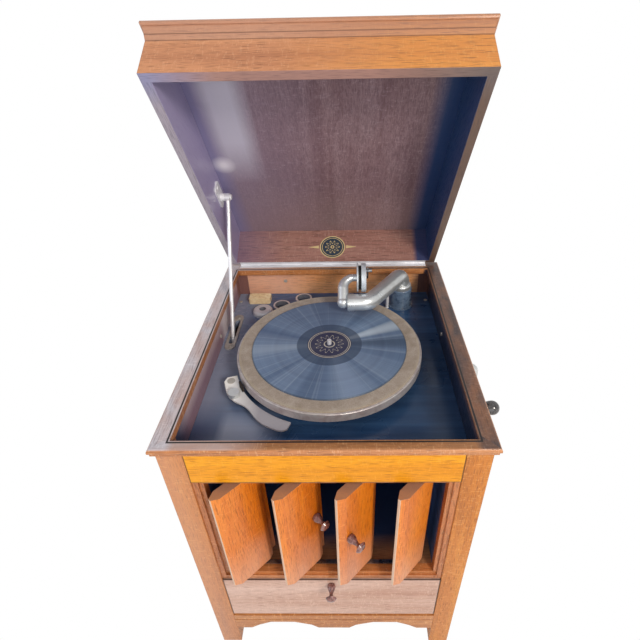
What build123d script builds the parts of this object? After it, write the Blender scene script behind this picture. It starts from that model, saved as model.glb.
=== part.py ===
from build123d import *
import os
from math import atan, atan2, cos, degrees, hypot, pi, radians, sin, sqrt, tan

# A wind-up gramophone in a low oak case on four short feet, with the lid open.
# Lengths are in millimetres and angles in degrees.
# While it is built, X=0 is the middle of the case, Y=0 the front lip of the rim
# and Z=0 the floor; +Y points to the back. At the end everything is moved so
# that the origin is the middle of the bottom of the overall box.

# Whole case
rim_width = 434
rim_depth = 476
foot_high = 58
rim_thick = 12
rim_overhang = 6
rim_round = 4
rim_step = 2
rim_step_high = 5
post_side = 34
rim_side_wide = 25
rim_lip = 5
rim_front_wide = 16
rim_back_wide = 29
rim_back_lip = 9
side_thick = 10
back_thick = 10
cut_over = 5
hair = 0.3

# Front, from the top down
top_rail_high = 59
frame_high = 253
frame_side = 14
frame_head = 8
frame_set = 2
frame_thick = 16
frame_step = 3
frame_step_wide = 6
flap_gap = 3
flap_high = 126
flap_thick = 18
flap_side_gap = 1
flap_pivot_r = 3
flap_pivot_long = 14
apron_high = 48
apron_thick = 18
apron_gap = 1
bead_drop = 15
bead_cut = 2
arch_peak_rise = 23
arch_inner = 28
arch_outer = 150
arch_outer_share = 0.3
arch_outer_foot_share = 0.12
arch_inner_share = 0.35
arch_inner_foot_share = 0.1
shelf_thick = 12
foot_chamfer = 3
post_edge = 0.8

# Motor board and what sits on it
board_drop = 62
board_thick = 12
board_gap = 0.3
cleat_side = 8
spindle_fore = 7
spindle_hole_r = 8

# Leaves in front of the horn
leaf_count = 4
leaf_open = 45
leaf_pivot_y = 14
leaf_nose_in = 2.25
leaf_face_left_in = 12.75
leaf_face_right_in = 14.75
leaf_shoulder_in = 6.25
leaf_tongue_over = 4.75
leaf_tongue_front = 4.2
leaf_tongue_back = 7
leaf_half_thick = 8
leaf_nose_front = 1.5
leaf_nose_back = 2
leaf_lip = 4
leaf_foot_gap = 9
leaf_head_gap = 1
leaf_edge_gap = 0.8
pivot_r = 2.5
pivot_deep = 4.5
run_gap = 0.05
link_offset_x = 9
link_offset_y = 5.5
link_pin_r = 1.5
link_wide = 6
link_thick = 2
link_rise = 3.5
knob_drop = 176
leaf_knob_in = 18.5

# Turned knobs
knob_base_r = 6.8
knob_neck_r = 3.7
knob_head_r = 8.8
knob_long = 26
knob_foot_share = 0.8
knob_crown_share = 0.72
knob_level_shares = (0.17, 0.46, 0.82, 0.94)

# Horn
horn_board = 4.5
horn_side_thick = 8
horn_throat_y = 60
horn_dip_fore = 22
horn_motor_gap = 19.5
horn_left_in = 45
pipe_outer = 17
pipe_wall = 2

# Lid
lid_side_set = 8.5
lid_front_set = 10.3
lid_back_set = 9
lid_gap = 1.6
lid_wall = 12.5
lid_back_wall = 10
lid_inner_high = 75
lid_top_thick = 8
lid_top_out = 8
lid_mould_low = 55
lid_mould_out = 5
lid_open = 57.4
hinge_rise = 2.4
hinge_end_in = 18.5
hinge_leaf = 1.2
hinge_leaf_wide = 10
hinge_r = 2.2
hinge_pin_r = 1
hinge_knuckles = 9
hinge_knuckle_gap = 0.4

# Lid stay
stay_in = 14
stay_rod_r = 3.5
stay_pivot_back = 160
stay_pivot_up = 50
stay_foot_fore = 161.3
stay_tail = 14
stay_eye_thick = 7.6
stay_eye_r = 7
stay_pin_r = 2.5
stay_plate_fore = 38
stay_plate_aft = 68
stay_plate_wide = 18
stay_plate_thick = 2.5
stay_slot_wide = 9.5
stay_slot_fore = 22
stay_slot_aft = 52
bracket_thick = 2.5
bracket_tongue = 14
bracket_corner = 8
bracket_high = 26
bracket_front = 18
bracket_back = 34

# Turntable
record_r = 127
record_thick = 2
record_top_drop = 20
record_hole_r = 3.65
felt_hole_r = 5
felt_thick = 2.5
felt_wide = 21
platter_edge = 3.6
platter_thick = 2
platter_skirt = 14
platter_round = 1.2
hub_r = 14
hub_long = 18
spindle_r = 5
spindle_tip_r = 3.6
spindle_neck_r = 2.8
spindle_tip_rise = 8

# Spring motor
motor_left = 75
motor_right = 138
motor_fore = 59
motor_aft = 81
motor_corner = 12
plate_thick = 3
plate_drop = 7
motor_high = 105
pillar_r = 5
pillar_inset = 9
bolt_r = 3
bolt_head_r = 6
bolt_head_high = 4
wind_aft = 31
wind_drop = 17
barrel_x = 84
barrel_r = 42
barrel_high = 46
barrel_rise = 18
arbor_r = 6
barrel_teeth = 60
mid_pinion_teeth = 12
mid_wheel_teeth = 48
spindle_pinion_teeth = 16
train_module = 1.5
governor_wheel_teeth = 72
governor_pinion_teeth = 12
governor_module = 1
governor_angle = 197.8
gear_thick = 5
wheel_thick = 4
mid_shaft_r = 3
bevel_teeth = 24
bevel_pinion_teeth = 12
bevel_outer = 22
bevel_inner = 14
bevel_gap = 0.6
governor_shaft_r = 2
governor_ball_r = 7
governor_ball_out = 16
governor_spring_half = 17
governor_spring_thick = 1.2
governor_spring_wide = 5
governor_mid_rise = 41
governor_collar_r = 6

# Crank
wind_shaft_r = 5
crank_out = 63
crank_bend = 14
crank_r = 5.8
crank_arm = 107
crank_boss_r = 8.5
crank_boss_long = 15
grip_pin_r = 3
grip_gap = 0.5
grip_long = 52.6
grip_neck_r = 8
grip_ball_r = 13.9
plate_r = 16
plate_high = 2.5
side_hole_r = 8

# Tonearm
arm_side_in = 60.5
arm_back_in = 45
arm_rise = 7
arm_yaw = 35
arm_reach = 118
arm_tube_r = 15.5
arm_end_r = 14.8
arm_ring_r = 19.5
arm_ring_high = 9
arm_ring_round = 4
arm_wall = 2
arm_bend = 18
elbow_bend = 22
collar_reach = 103.5
collar_r = 15.8
collar_ribs = 3
collar_rib_wide = 1.6
cup_r = 21
cup_top_drop = 21
cup_flange_r = 24.5
cup_flange_thick = 3
post_side_off = 27
post_fore_off = 11
post_r = 3
post_high = 30
post_foot_r = 3.6
neck_gap = 0.4
neck_flange_r = 15.2
neck_flange = 2
neck_ball_r = 10.5
neck_tube_r = 9.6
neck_tip_r = 6.5
neck_bend = 20
neck_bend_shares = (0, 0.35, 0.7, 1)
neck_plug = 18
neck_reach = 113.7
neck_end_reach = 89
sound_fore = 62
sound_z_rise = 37.3
sound_r = 26
sound_back_thick = 2.5
sound_gasket_r = 22
sound_gasket_thick = 5.5
sound_shell_thick = 8.5
sound_dish_deep = 4
sound_dish_r = 21.5
sound_mica_thick = 0.8
needle_play_drop = 33
needle_play_fore = 15
play_rise = 13
bar_wide = 4
bar_thick = 3
bar_gap = 1.2
needle_r = 0.8
needle_long = 14
clamp_r = 3.2
clamp_long = 9

# Brake and speed regulator
lever_thick = 3
lever_rise = 17
lever_gap = 3
lever_wide = 23
lever_start = 197.9
lever_end = 250.7
lever_corner_shares = [(0, 0), (0, 0.68), (0.05, 0.94), (0.15, 0.98)]
lever_edge_shares = [(0.15, 0.98), (0.27, 1), (0.36, 0.84), (0.42, 0.67), (0.49, 0.56), (0.57, 0.61), (0.67, 0.77),
                     (0.78, 0.86), (0.87, 0.85), (0.96, 0.77), (1, 0.52)]
lever_inner_shares = [(1, 0), (0.5, 0), (0, 0)]
lever_pivot_out = 14
lever_pivot_angle = 201.6
lever_pivot_r = 3
pad_long = 14
pad_wide = 3.2
pad_high = 11
pad_gap = 1.9
pad_angle = 210.5
speed_out = 18.4
speed_angle = 212.6
speed_r = 9
speed_high = 7
speed_stem_r = 2.5
speed_flutes = 24
flute_r = 0.6

# Needle cups and the block
needle_cup_left_in = 93
needle_cup_step = 43
needle_cup_back_in = 45
needle_cup_aft = 25
needle_cup_r = 17
needle_cup_lip = 2.5
needle_cup_lip_high = 1.5
needle_cup_deep = 9
needle_cup_wall = 1
used_cup_left_in = 59
used_cup_back_in = 72
used_cup_r = 19.5
used_cup_high = 10
used_hole_r = 6.5
block_left_in = 25
block_back_in = 40
block_long = 44
block_wide = 24
block_high = 11
block_chamfer = 3

# Screws
screw_head_r = 3.5
screw_head_high = 1.2
screw_side_in = 7
screw_front_in = 28
screw_back_in = 31.5
back_screw_share = 0.11
side_screw_share = 0.6
side_screw_drop_share = 0.7

# Places worked out from the sizes above
rim_height = foot_high + apron_high + apron_gap + flap_high + flap_gap + frame_high + top_rail_high + rim_thick
rim_inner_half = rim_width / 2 - rim_side_wide
well_half = rim_inner_half + rim_lip
case_half = rim_width / 2 - rim_overhang
front_y = rim_overhang
back_y = rim_depth - rim_overhang
case_top = rim_height - rim_thick
well_front = rim_front_wide
rim_inner_back = rim_depth - rim_back_wide
well_back = rim_inner_back + rim_back_lip
spindle_y = rim_depth / 2 - spindle_fore
board_top = rim_height - board_drop
board_low = board_top - board_thick
rail_low = case_top - top_rail_high
frame_low = rail_low - frame_high
open_half = case_half - post_side - frame_side
open_low = frame_low + frame_side
open_high = rail_low - frame_head
flap_top = frame_low - flap_gap
flap_low = flap_top - flap_high
apron_top = flap_low - apron_gap
apron_low = apron_top - apron_high
post_in = case_half - post_side
leaf_pitch = 2 * open_half / leaf_count
leaf_low = open_low + leaf_foot_gap
leaf_top = open_high - leaf_head_gap
horn_back = well_back
lid_width = rim_width - 2 * lid_side_set
lid_depth = rim_depth - lid_front_set - lid_back_set
lid_back_y = rim_depth - lid_back_set
lid_front_y = lid_front_set
lid_low = rim_height + lid_gap
lid_ceiling = lid_low + lid_inner_high
hinge_long = lid_width - 2 * hinge_end_in
hinge_y = lid_back_y + hair
hinge_z = rim_height + hinge_rise
stay_x = lid_width / 2 - lid_wall - stay_in
stay_foot_y = hinge_y - stay_foot_fore
stay_plate_front = stay_foot_y - stay_plate_fore
stay_plate_back = stay_foot_y + stay_plate_aft
stay_slot_front = stay_foot_y - stay_slot_fore
stay_slot_back = stay_foot_y + stay_slot_aft
felt_r = record_r + felt_wide
platter_r = felt_r + platter_edge
record_top = rim_height - record_top_drop
felt_top = record_top - record_thick
platter_top = felt_top - felt_thick
motor_top = board_low - plate_drop
motor_low = motor_top - motor_high
motor_front = spindle_y - motor_fore
horn_dip_y = motor_front - horn_dip_fore
motor_back = spindle_y + motor_aft
horn_level = motor_low - plate_thick - horn_motor_gap - horn_board
barrel_low = motor_low + barrel_rise
governor_mid = motor_low + governor_mid_rise
wind_y = spindle_y + wind_aft
wind_z = motor_top - wind_drop
crank_plane = well_half + crank_out
arm_x = well_half - arm_side_in
arm_y = well_back - arm_back_in
arm_z = rim_height + arm_rise
post_x = arm_x - post_side_off
post_y = arm_y - post_fore_off
collar_left = arm_x - collar_reach
neck_x = arm_x - neck_reach
neck_end = arm_x - neck_end_reach
sound_y = arm_y - sound_fore
horn_left_x = arm_x - horn_left_in
sound_z = rim_height + sound_z_rise
lever_top = board_top + lever_rise
lever_pivot_x = (platter_r + lever_pivot_out) * cos(radians(lever_pivot_angle))
lever_pivot_y = spindle_y + (platter_r + lever_pivot_out) * sin(radians(lever_pivot_angle))
speed_x = (platter_r + speed_out) * cos(radians(speed_angle))
speed_y = spindle_y + (platter_r + speed_out) * sin(radians(speed_angle))


def slab(x0, x1, y0, y1, z0, z1):
    """A box given by its faces."""
    box = Box(x1 - x0, y1 - y0, z1 - z0, align=(Align.MIN, Align.MIN, Align.MIN))
    return Pos(x0, y0, z0) * box


def rod(radius, x, y, z0, z1):
    """An upright round bar."""
    bar = Cylinder(radius, z1 - z0, align=(Align.CENTER, Align.CENTER, Align.MIN))
    return Pos(x, y, z0) * bar


def rod_x(radius, x0, x1, y, z):
    """A round bar along X."""
    return Pos((x0 + x1) / 2, y, z) * Rot(Y=90) * Cylinder(radius, x1 - x0)


def prism_z(points, z0, z1):
    """An outline in X and Y raised from z0 to z1."""
    return Pos(0, 0, z0) * extrude(Polygon(*points, align=None), z1 - z0, dir=(0, 0, 1))


def prism_x(points, x0, x1):
    """An outline in Y and Z drawn from x0 to x1."""
    face = Plane.YZ * Polygon(*points, align=None)
    return Pos(x0, 0, 0) * extrude(face, x1 - x0, dir=(1, 0, 0))


def upright_edges(shape):
    return shape.edges().filter_by(Axis.Z)


# Case
def posts():
    """Four corner posts that run down as feet; the well is cut out of their inner corners."""
    well = slab(-well_half, well_half, well_front, well_back, board_low, rim_height)
    made = []
    for side in (-1, 1):
        for y0 in (front_y, back_y - post_side):
            x0 = min(side * case_half, side * post_in)
            post = slab(x0, x0 + post_side, y0, y0 + post_side, 0, case_top)
            post = chamfer(post.edges().group_by(Axis.Z)[0], foot_chamfer)
            post = chamfer(upright_edges(post), post_edge)
            made.append(post - well)
    return made


def case_panels():
    """Plain panels let in between the posts; the right one has the crank's hole."""
    made = [slab(-post_in, post_in, well_back, well_back + back_thick, apron_top, case_top)]
    for side in (-1, 1):
        x0 = min(side * well_half, side * (well_half + side_thick))
        y0, y1 = front_y + post_side, back_y - post_side
        panel = slab(x0, x0 + side_thick, y0, y1, apron_top, case_top)
        if side > 0:
            panel -= rod_x(side_hole_r, x0 - cut_over, x0 + side_thick + cut_over, wind_y, wind_z)
        made.append(panel)
    return made


def top_rail():
    return slab(-post_in, post_in, front_y, well_front, rail_low, case_top)


def louvre_frame():
    """The frame round the horn's mouth, stepped inwards once, with holes for the leaf pivots."""
    y0 = front_y + frame_set
    frame = slab(-post_in, post_in, y0, y0 + frame_thick, frame_low, rail_low)
    frame -= slab(-open_half, open_half, y0 - cut_over, y0 + frame_thick + cut_over, open_low, open_high)
    step = frame_step_wide
    frame -= slab(-open_half - step, open_half + step, y0 - cut_over, y0 + frame_step,
                  open_low - step, open_high + step)
    frame -= slab(-post_in, post_in, well_front, well_back, board_low, rim_height)
    for x in leaf_places():
        frame -= rod(pivot_r, x, leaf_pivot_y, open_low - pivot_deep, open_high + pivot_deep)
    return frame


def leaf_places():
    return [(i - (leaf_count - 1) / 2) * leaf_pitch for i in range(leaf_count)]


def leaf_pivots():
    """Pins set in the frame above and below each leaf."""
    made = []
    for x in leaf_places():
        made.append(rod(pivot_r, x, leaf_pivot_y, open_low - pivot_deep, leaf_low + pivot_deep))
        made.append(rod(pivot_r, x, leaf_pivot_y, leaf_top - pivot_deep, open_high + pivot_deep))
    return made


def shelves():
    """The horn's floor and the floor of the record space, notched round the posts."""
    made = []
    for top in (open_low, apron_top):
        board = slab(-well_half, well_half, front_y + frame_set + frame_thick, well_back, top - shelf_thick, top)
        for side in (-1, 1):
            for y in (front_y, back_y - post_side):
                x0 = min(side * case_half, side * post_in)
                board -= slab(x0, x0 + post_side, y, y + post_side, 0, case_top)
        made.append(board)
    return made


def arch_outline(half, low, high):
    """Lower edge of an apron of this half width: two arches and a middle drop."""
    scale = half / post_in
    peak = low + arch_peak_rise
    rise = (peak - low) / 2
    points = [(-half, high), (-half, low)]
    for side in (-1, 1):
        near, far = arch_inner * scale, arch_outer * scale
        span = far - near
        outer, inner = far - span * arch_outer_share, near + span * arch_inner_share
        steps = [(far, low), (far - span * arch_outer_foot_share, low + rise), (outer, peak), (inner, peak),
                 (near + span * arch_inner_foot_share, low + rise), (near, low)]
        if side > 0:
            steps.reverse()
        points += [(side * x, z) for x, z in steps]
    return points + [(half, low), (half, high)]


def aprons():
    """Shaped rails under the front, with a bead line, and plain shaped ones at the sides."""
    front = Plane.XZ * Polygon(*arch_outline(post_in, apron_low, apron_top), align=None)
    rail = Pos(0, front_y, 0) * extrude(front, apron_thick, dir=(0, 1, 0))
    rail -= slab(-post_in, post_in, front_y - cut_over, front_y + bead_cut,
                 apron_top - bead_drop - bead_cut, apron_top - bead_drop)
    made = [rail]
    half = (back_y - front_y) / 2 - post_side
    side_face = Plane.YZ * Polygon(*arch_outline(half, apron_low, apron_top), align=None)
    for side in (-1, 1):
        x0 = min(side * well_half, side * (well_half + side_thick))
        made.append(Pos(x0, (front_y + back_y) / 2, 0) * extrude(side_face, side_thick, dir=(1, 0, 0)))
    return made


def rim():
    """The moulded frame round the top of the well."""
    half, step = rim_width / 2, rim_step
    outer = slab(-half, half, 0, rim_depth, case_top + rim_step_high, rim_height)
    outer = fillet(outer.faces().sort_by(Axis.Z)[-1].edges(), rim_round)
    outer = fillet(outer.faces().sort_by(Axis.Z)[0].edges(), step / 2)
    outer += slab(-half + step, half - step, step, rim_depth - step, case_top, case_top + rim_step_high)
    return outer - slab(-rim_inner_half, rim_inner_half, well_front, rim_inner_back, case_top - cut_over,
                        rim_height + cut_over)


def cleats():
    """Strips that carry the motor board along both sides."""
    y0, y1 = front_y + post_side, back_y - post_side
    left = slab(-well_half, -well_half + cleat_side, y0, y1, board_low - cleat_side, board_low)
    return [left, mirror(left, Plane.YZ)]


# Motor board
def cup_places():
    x, y = -well_half + needle_cup_left_in, well_back - needle_cup_back_in
    return [(x, y), (x + needle_cup_step, y + needle_cup_aft)]


def board_bolts():
    x0, x1 = -motor_left + pillar_inset, motor_right - pillar_inset
    y0, y1 = motor_front + pillar_inset, motor_back - pillar_inset
    return [(x0, y0), (x1, y0), (x1, y1), (x0, y1)]


def stay_slot(z0, z1):
    y0, y1 = stay_slot_front, stay_slot_back
    half = stay_slot_wide / 2
    slot = slab(-stay_x - half, -stay_x + half, y0 + half, y1 - half, z0, z1)
    return slot + rod(half, -stay_x, y0 + half, z0, z1) + rod(half, -stay_x, y1 - half, z0, z1)


def motor_board():
    half = well_half - board_gap
    board = slab(-half, half, well_front + board_gap, well_back - board_gap, board_low, board_top)
    low, high = board_low - cut_over, board_top + cut_over
    board -= rod(spindle_hole_r, 0, spindle_y, low, high)
    board -= rod(pipe_outer, arm_x, arm_y, low, high)
    board -= stay_slot(low, high)
    for x, y in cup_places():
        board -= rod(needle_cup_r - needle_cup_lip, x, y, low, high)
    for x, y in board_bolts():
        board -= rod(bolt_r, x, y, low, high)
    return board


def needle_cups():
    """Two nickel-rimmed cups sunk in the board."""
    made = []
    bowl_r = needle_cup_r - needle_cup_lip
    for x, y in cup_places():
        low = board_top - needle_cup_deep
        cup = rod(bowl_r, x, y, low, board_top + needle_cup_lip_high)
        cup += rod(needle_cup_r, x, y, board_top, board_top + needle_cup_lip_high)
        cup -= rod(bowl_r - needle_cup_wall, x, y, low + needle_cup_wall, board_top + cut_over)
        made.append(cup)
    return made


def used_cup():
    """A low nickel dome with a hole in the middle, for used needles."""
    x, y = -well_half + used_cup_left_in, well_back - used_cup_back_in
    dome = rod(used_cup_r, x, y, board_top, board_top + used_cup_high)
    dome = fillet(dome.faces().sort_by(Axis.Z)[-1].edges(), used_cup_high * 0.6)
    return dome - rod(used_hole_r, x, y, board_top + needle_cup_wall, rim_height)


def block():
    """A small cream block that stands behind the used-needle cup."""
    x0, y0 = -well_half + block_left_in, well_back - block_back_in
    shape = slab(x0, x0 + block_long, y0, y0 + block_wide, board_top, board_top + block_high)
    return chamfer(upright_edges(shape), block_chamfer)


def stay_plate():
    """The slotted plate on the board that guides the lid stay."""
    half = stay_plate_wide / 2
    top = board_top + stay_plate_thick
    plate = slab(-stay_x - half, -stay_x + half, stay_plate_front + half, stay_plate_back - half, board_top, top)
    plate += rod(half, -stay_x, stay_plate_front + half, board_top, top)
    plate += rod(half, -stay_x, stay_plate_back - half, board_top, top)
    return plate - stay_slot(board_low, top + cut_over)


def screws():
    """Screw heads: in the well's walls, on the board's corners and on the stay plate."""
    head, high = screw_head_r, screw_head_high
    made = []
    for y in (stay_plate_front + stay_plate_wide / 2, stay_plate_back - stay_plate_wide / 2):
        made.append(rod(head, -stay_x, y, board_top + stay_plate_thick, board_top + stay_plate_thick + high))
    for x in (-well_half + screw_side_in, well_half - screw_side_in):
        for y in (well_front + screw_front_in, well_back - screw_back_in):
            made.append(rod(head, x, y, board_top, board_top + high))
    for x in (-well_half / 2, well_half * back_screw_share):
        disc = Rot(X=90) * Cylinder(head, high)
        made.append(Pos(x, well_back - high / 2, rim_height - board_drop / 2) * disc)
    for side in (-1, 1):
        x = side * (well_half - high / 2)
        made.append(rod_x(head, x - high / 2, x + high / 2, rim_depth * side_screw_share, rim_height - board_drop * side_screw_drop_share))
    return made


# Horn
def horn_top_points(lift):
    """Lower line of the horn's ceiling, or its upper line when lifted by the board's thickness."""
    y0 = front_y + frame_set + frame_thick
    slope = atan2(open_high - horn_level, horn_dip_y - horn_throat_y)
    shift = lift * tan(slope / 2)
    return [(y0, open_high + lift), (horn_throat_y + shift, open_high + lift),
            (horn_dip_y + shift, horn_level + lift), (horn_back, horn_level + lift)]


def horn_top():
    """The ceiling of the horn: boards that run level, down below the motor, and level again to meet at the pipe."""
    low, high = horn_top_points(0), horn_top_points(horn_board)
    low.insert(-1, (arm_y, low[-1][1]))
    high.insert(-1, (arm_y, high[-1][1]))
    edge = open_half + horn_side_thick
    hole = rod(pipe_outer, arm_x, arm_y, open_low, case_top)
    return [prism_x([low[i], low[i + 1], high[i + 1], high[i]], -edge, edge) - hole for i in range(len(low) - 1)]


def horn_sides():
    """The horn's side boards; the left one turns in behind the mouth towards the throat."""
    y0 = front_y + frame_set + frame_thick
    below = [(y0, open_low)] + horn_top_points(0) + [(horn_back, open_low)]
    room = prism_x(below, -well_half, well_half)
    thick = horn_side_thick
    right = room & slab(open_half, open_half + thick, y0, horn_back, open_low, open_high)
    left = room & slab(-open_half - thick, -open_half, y0, horn_throat_y, open_low, open_high)
    turn = [(-open_half, horn_throat_y), (horn_left_x, horn_back), (horn_left_x - thick, horn_back),
            (-open_half - thick, horn_throat_y)]
    slant = room & prism_z(turn, open_low, open_high)
    return [right, left, slant]


def throat():
    """The pipe from the tonearm's base down through the horn's ceiling."""
    low = horn_level
    return rod(pipe_outer, arm_x, arm_y, low, board_top) - rod(pipe_outer - pipe_wall, arm_x, arm_y, low, board_top)


# Leaves
def leaf_outline(tongue):
    """Plan of one leaf when closed, about its pivot; minus Y is its front."""
    thick, half = leaf_half_thick, leaf_pitch / 2
    nose, left = half - leaf_nose_in, half - leaf_face_left_in
    right, shoulder = half - leaf_face_right_in, half - leaf_shoulder_in
    return [(-nose, -leaf_nose_front), (-left, -thick), (right, -thick), (shoulder, -leaf_lip),
            (shoulder, leaf_tongue_front), (tongue, leaf_tongue_front), (tongue, leaf_tongue_back),
            (shoulder - leaf_lip, thick), (-left, thick), (-nose, leaf_nose_back)]


def leaf(index):
    """One leaf, turned to where it rests, bored for its pivots and its link pin."""
    last = index == leaf_count - 1
    tongue = leaf_pitch / 2 - leaf_edge_gap if last else leaf_pitch / 2 + leaf_tongue_over
    board = prism_z(leaf_outline(tongue), leaf_low, leaf_top)
    bore = pivot_r + run_gap
    board -= rod(bore, 0, 0, leaf_low - cut_over, leaf_low + pivot_deep + hair)
    board -= rod(bore, 0, 0, leaf_top - pivot_deep - hair, leaf_top + cut_over)
    board -= rod(link_pin_r + run_gap, link_offset_x, link_offset_y, leaf_low - cut_over, leaf_low + pivot_deep + hair)
    return Pos(leaf_places()[index], leaf_pivot_y, 0) * Rot(Z=leaf_open) * board


def leaf_link():
    """A flat strip with a pin into each leaf, which turns them all together."""
    offset = Vector(link_offset_x, link_offset_y, 0).rotate(Axis.Z, leaf_open)
    z0 = open_low + link_rise
    y = leaf_pivot_y + offset.Y
    xs = [x + offset.X for x in leaf_places()]
    strip = slab(xs[0], xs[-1], y - link_wide / 2, y + link_wide / 2, z0, z0 + link_thick)
    for x in xs:
        strip += rod(link_wide / 2, x, y, z0, z0 + link_thick)
        strip += rod(link_pin_r, x, y, z0, leaf_low + pivot_deep)
    return strip


def turned_knob():
    """A knob with a rounded foot, a thin neck and a flared head, standing up along Z from the origin."""
    lobe, neck, head, crown = [share * knob_long for share in knob_level_shares]
    foot_r, crown_r = knob_base_r * knob_foot_share, knob_head_r * knob_crown_share
    side = Spline((foot_r, 0, 0), (knob_base_r, 0, lobe), (knob_neck_r, 0, neck), (knob_head_r, 0, head))
    top = Polyline((knob_head_r, 0, head), (crown_r, 0, crown), (0, 0, knob_long))
    middle = Line((0, 0, knob_long), (0, 0, 0))
    foot = Line((0, 0, 0), (foot_r, 0, 0))
    return revolve(make_face([foot, side, top, middle]), Axis.Z)


def leaf_knob(index, side):
    """The knob on a leaf's front, near its left or right edge."""
    knob = Pos(side * (leaf_pitch / 2 - leaf_knob_in), -leaf_half_thick, rim_height - knob_drop) * Rot(X=90) * turned_knob()
    return Pos(leaf_places()[index], leaf_pivot_y, 0) * Rot(Z=leaf_open) * knob


# Flap over the record space
def flap():
    """A fall flap that turns on two pins low in its ends; its foot is rounded about them."""
    half = post_in - flap_side_gap
    y1 = front_y + flap_thick
    board = slab(-half, half, front_y, y1, flap_low, flap_top)
    foot = [e for e in board.edges().filter_by(Axis.X) if abs(e.center().Z - flap_low) < hair]
    board = fillet(foot, flap_thick / 2 - hair)
    for side in (-1, 1):
        x0 = side * (half + hair)
        x1 = side * (half - flap_pivot_long / 2)
        board -= rod_x(flap_pivot_r + run_gap, min(x0, x1), max(x0, x1), front_y + flap_thick / 2,
                       flap_low + flap_thick / 2)
    return board


def flap_pins():
    made = []
    for side in (-1, 1):
        x0, x1 = side * post_in, side * (post_in - flap_side_gap - flap_pivot_long / 2 + hair)
        made.append(rod_x(flap_pivot_r, min(x0, x1), max(x0, x1), front_y + flap_thick / 2,
                          flap_low + flap_thick / 2))
    return made


def flap_knob():
    return Pos(0, front_y, flap_top - frame_side - hair) * Rot(X=90) * turned_knob()


# Lid, built closed and then opened about its hinge
def opened(shape):
    return Pos(0, hinge_y, hinge_z) * Rot(X=-lid_open) * Pos(0, -hinge_y, -hinge_z) * shape


def lid_walls():
    """Four walls with a moulding round the top of three of them."""
    half = lid_width / 2
    low, high = lid_low, lid_ceiling
    walls = slab(-half, half, lid_front_y, lid_back_y, low, high)
    mould_low = low + lid_mould_low
    base = Pos(0, 0, mould_low) * Rectangle(lid_width, lid_depth)
    out = lid_mould_out
    upper = Pos(0, 0, high) * Rectangle(lid_width + 2 * out, lid_depth + 2 * out)
    band = Pos(0, (lid_front_y + lid_back_y) / 2, 0) * loft([base, upper])
    walls += band & slab(-rim_width, rim_width, 0, lid_back_y, low, high)
    inner = half - lid_wall
    walls -= slab(-inner, inner, lid_front_y + lid_wall, lid_back_y - lid_back_wall, low - cut_over, high + cut_over)
    walls -= rod_x(hinge_r + 2 * hair, -half, half, hinge_y, hinge_z)
    leaf_y = hinge_y - hinge_leaf_wide
    return walls - slab(-hinge_long / 2, hinge_long / 2, leaf_y, hinge_y, low, low + hinge_leaf)


def lid_top():
    """The moulded top board."""
    half = lid_width / 2 + lid_top_out
    board = slab(-half, half, lid_front_y - lid_top_out, lid_back_y, lid_ceiling, lid_ceiling + lid_top_thick)
    edges = board.edges().group_by(Axis.Z)[-1]
    board = fillet(edges, lid_top_thick * 0.5)
    low = board.edges().group_by(Axis.Z)[0]
    return chamfer([e for e in low if e.center().Y < lid_back_y - hair], lid_top_thick * 0.2)


def knuckle_runs(first):
    """The stretches of hinge knuckle that belong to one leaf, and the other leaf's in between."""
    step = hinge_long / hinge_knuckles
    runs = []
    for i in range(first, hinge_knuckles, 2):
        x0 = -hinge_long / 2 + i * step
        runs.append((x0 + hinge_knuckle_gap / 2, x0 + step - hinge_knuckle_gap / 2))
    return runs


def hinge_base():
    """The long hinge's lower leaf on the rim, with its knuckles and pin."""
    y0 = hinge_y - hinge_leaf_wide
    plate = slab(-hinge_long / 2, hinge_long / 2, y0, hinge_y, rim_height, rim_height + hinge_leaf)
    for x0, x1 in knuckle_runs(1):
        plate -= slab(x0 - hinge_knuckle_gap, x1 + hinge_knuckle_gap, hinge_y - hinge_r - hair, hinge_y,
                      rim_height, hinge_z)
    for x0, x1 in knuckle_runs(0):
        plate += rod_x(hinge_r, x0, x1, hinge_y, hinge_z)
    return plate + rod_x(hinge_pin_r, -hinge_long / 2, hinge_long / 2, hinge_y, hinge_z)


def hinge_lid():
    """The upper leaf, let into the lid's back wall."""
    y0 = hinge_y - hinge_leaf_wide
    low = lid_low
    plate = slab(-hinge_long / 2, hinge_long / 2, y0, hinge_y, low, low + hinge_leaf)
    for x0, x1 in knuckle_runs(0):
        plate -= slab(x0 - hinge_knuckle_gap, x1 + hinge_knuckle_gap, hinge_y - hinge_r - hair, hinge_y,
                      low - cut_over, low + cut_over)
    for x0, x1 in knuckle_runs(1):
        plate += rod_x(hinge_r, x0, x1, hinge_y, hinge_z)
    return plate - rod_x(hinge_pin_r + run_gap, -hinge_long, hinge_long, hinge_y, hinge_z)


def stay_pivot():
    """The stay's pivot on the closed lid, as Y and Z."""
    return lid_back_y - stay_pivot_back, lid_low + stay_pivot_up


def stay_bracket():
    """A small plate on the lid's left wall with the pin that the stay hangs on."""
    y, z = stay_pivot()
    wall = -lid_width / 2 + lid_wall
    plate = slab(wall, wall + bracket_thick, y - bracket_back, y + bracket_front, z - bracket_high / 2, z + bracket_high / 2)
    plate = fillet(plate.edges().filter_by(Axis.X), bracket_corner)
    eye_left = -stay_x - stay_eye_thick / 2
    plate += slab(wall, eye_left - hair, y - bracket_tongue / 2, y + bracket_tongue / 2,
                  z - bracket_thick / 2, z + bracket_thick / 2)
    for along in (bracket_corner - bracket_back, bracket_front - bracket_corner):
        plate += rod_x(screw_head_r, wall, wall + bracket_thick + screw_head_high, y + along, z)
    plate += rod_x(stay_eye_r, wall, eye_left - hair, y, z)
    plate += rod_x(stay_pin_r, wall, -stay_x + stay_eye_thick / 2 + hair, y, z)
    return plate + rod_x(stay_eye_r * 0.7, -stay_x + stay_eye_thick / 2 + hair,
                         -stay_x + stay_eye_thick / 2 + hair + bracket_thick, y, z)


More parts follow.
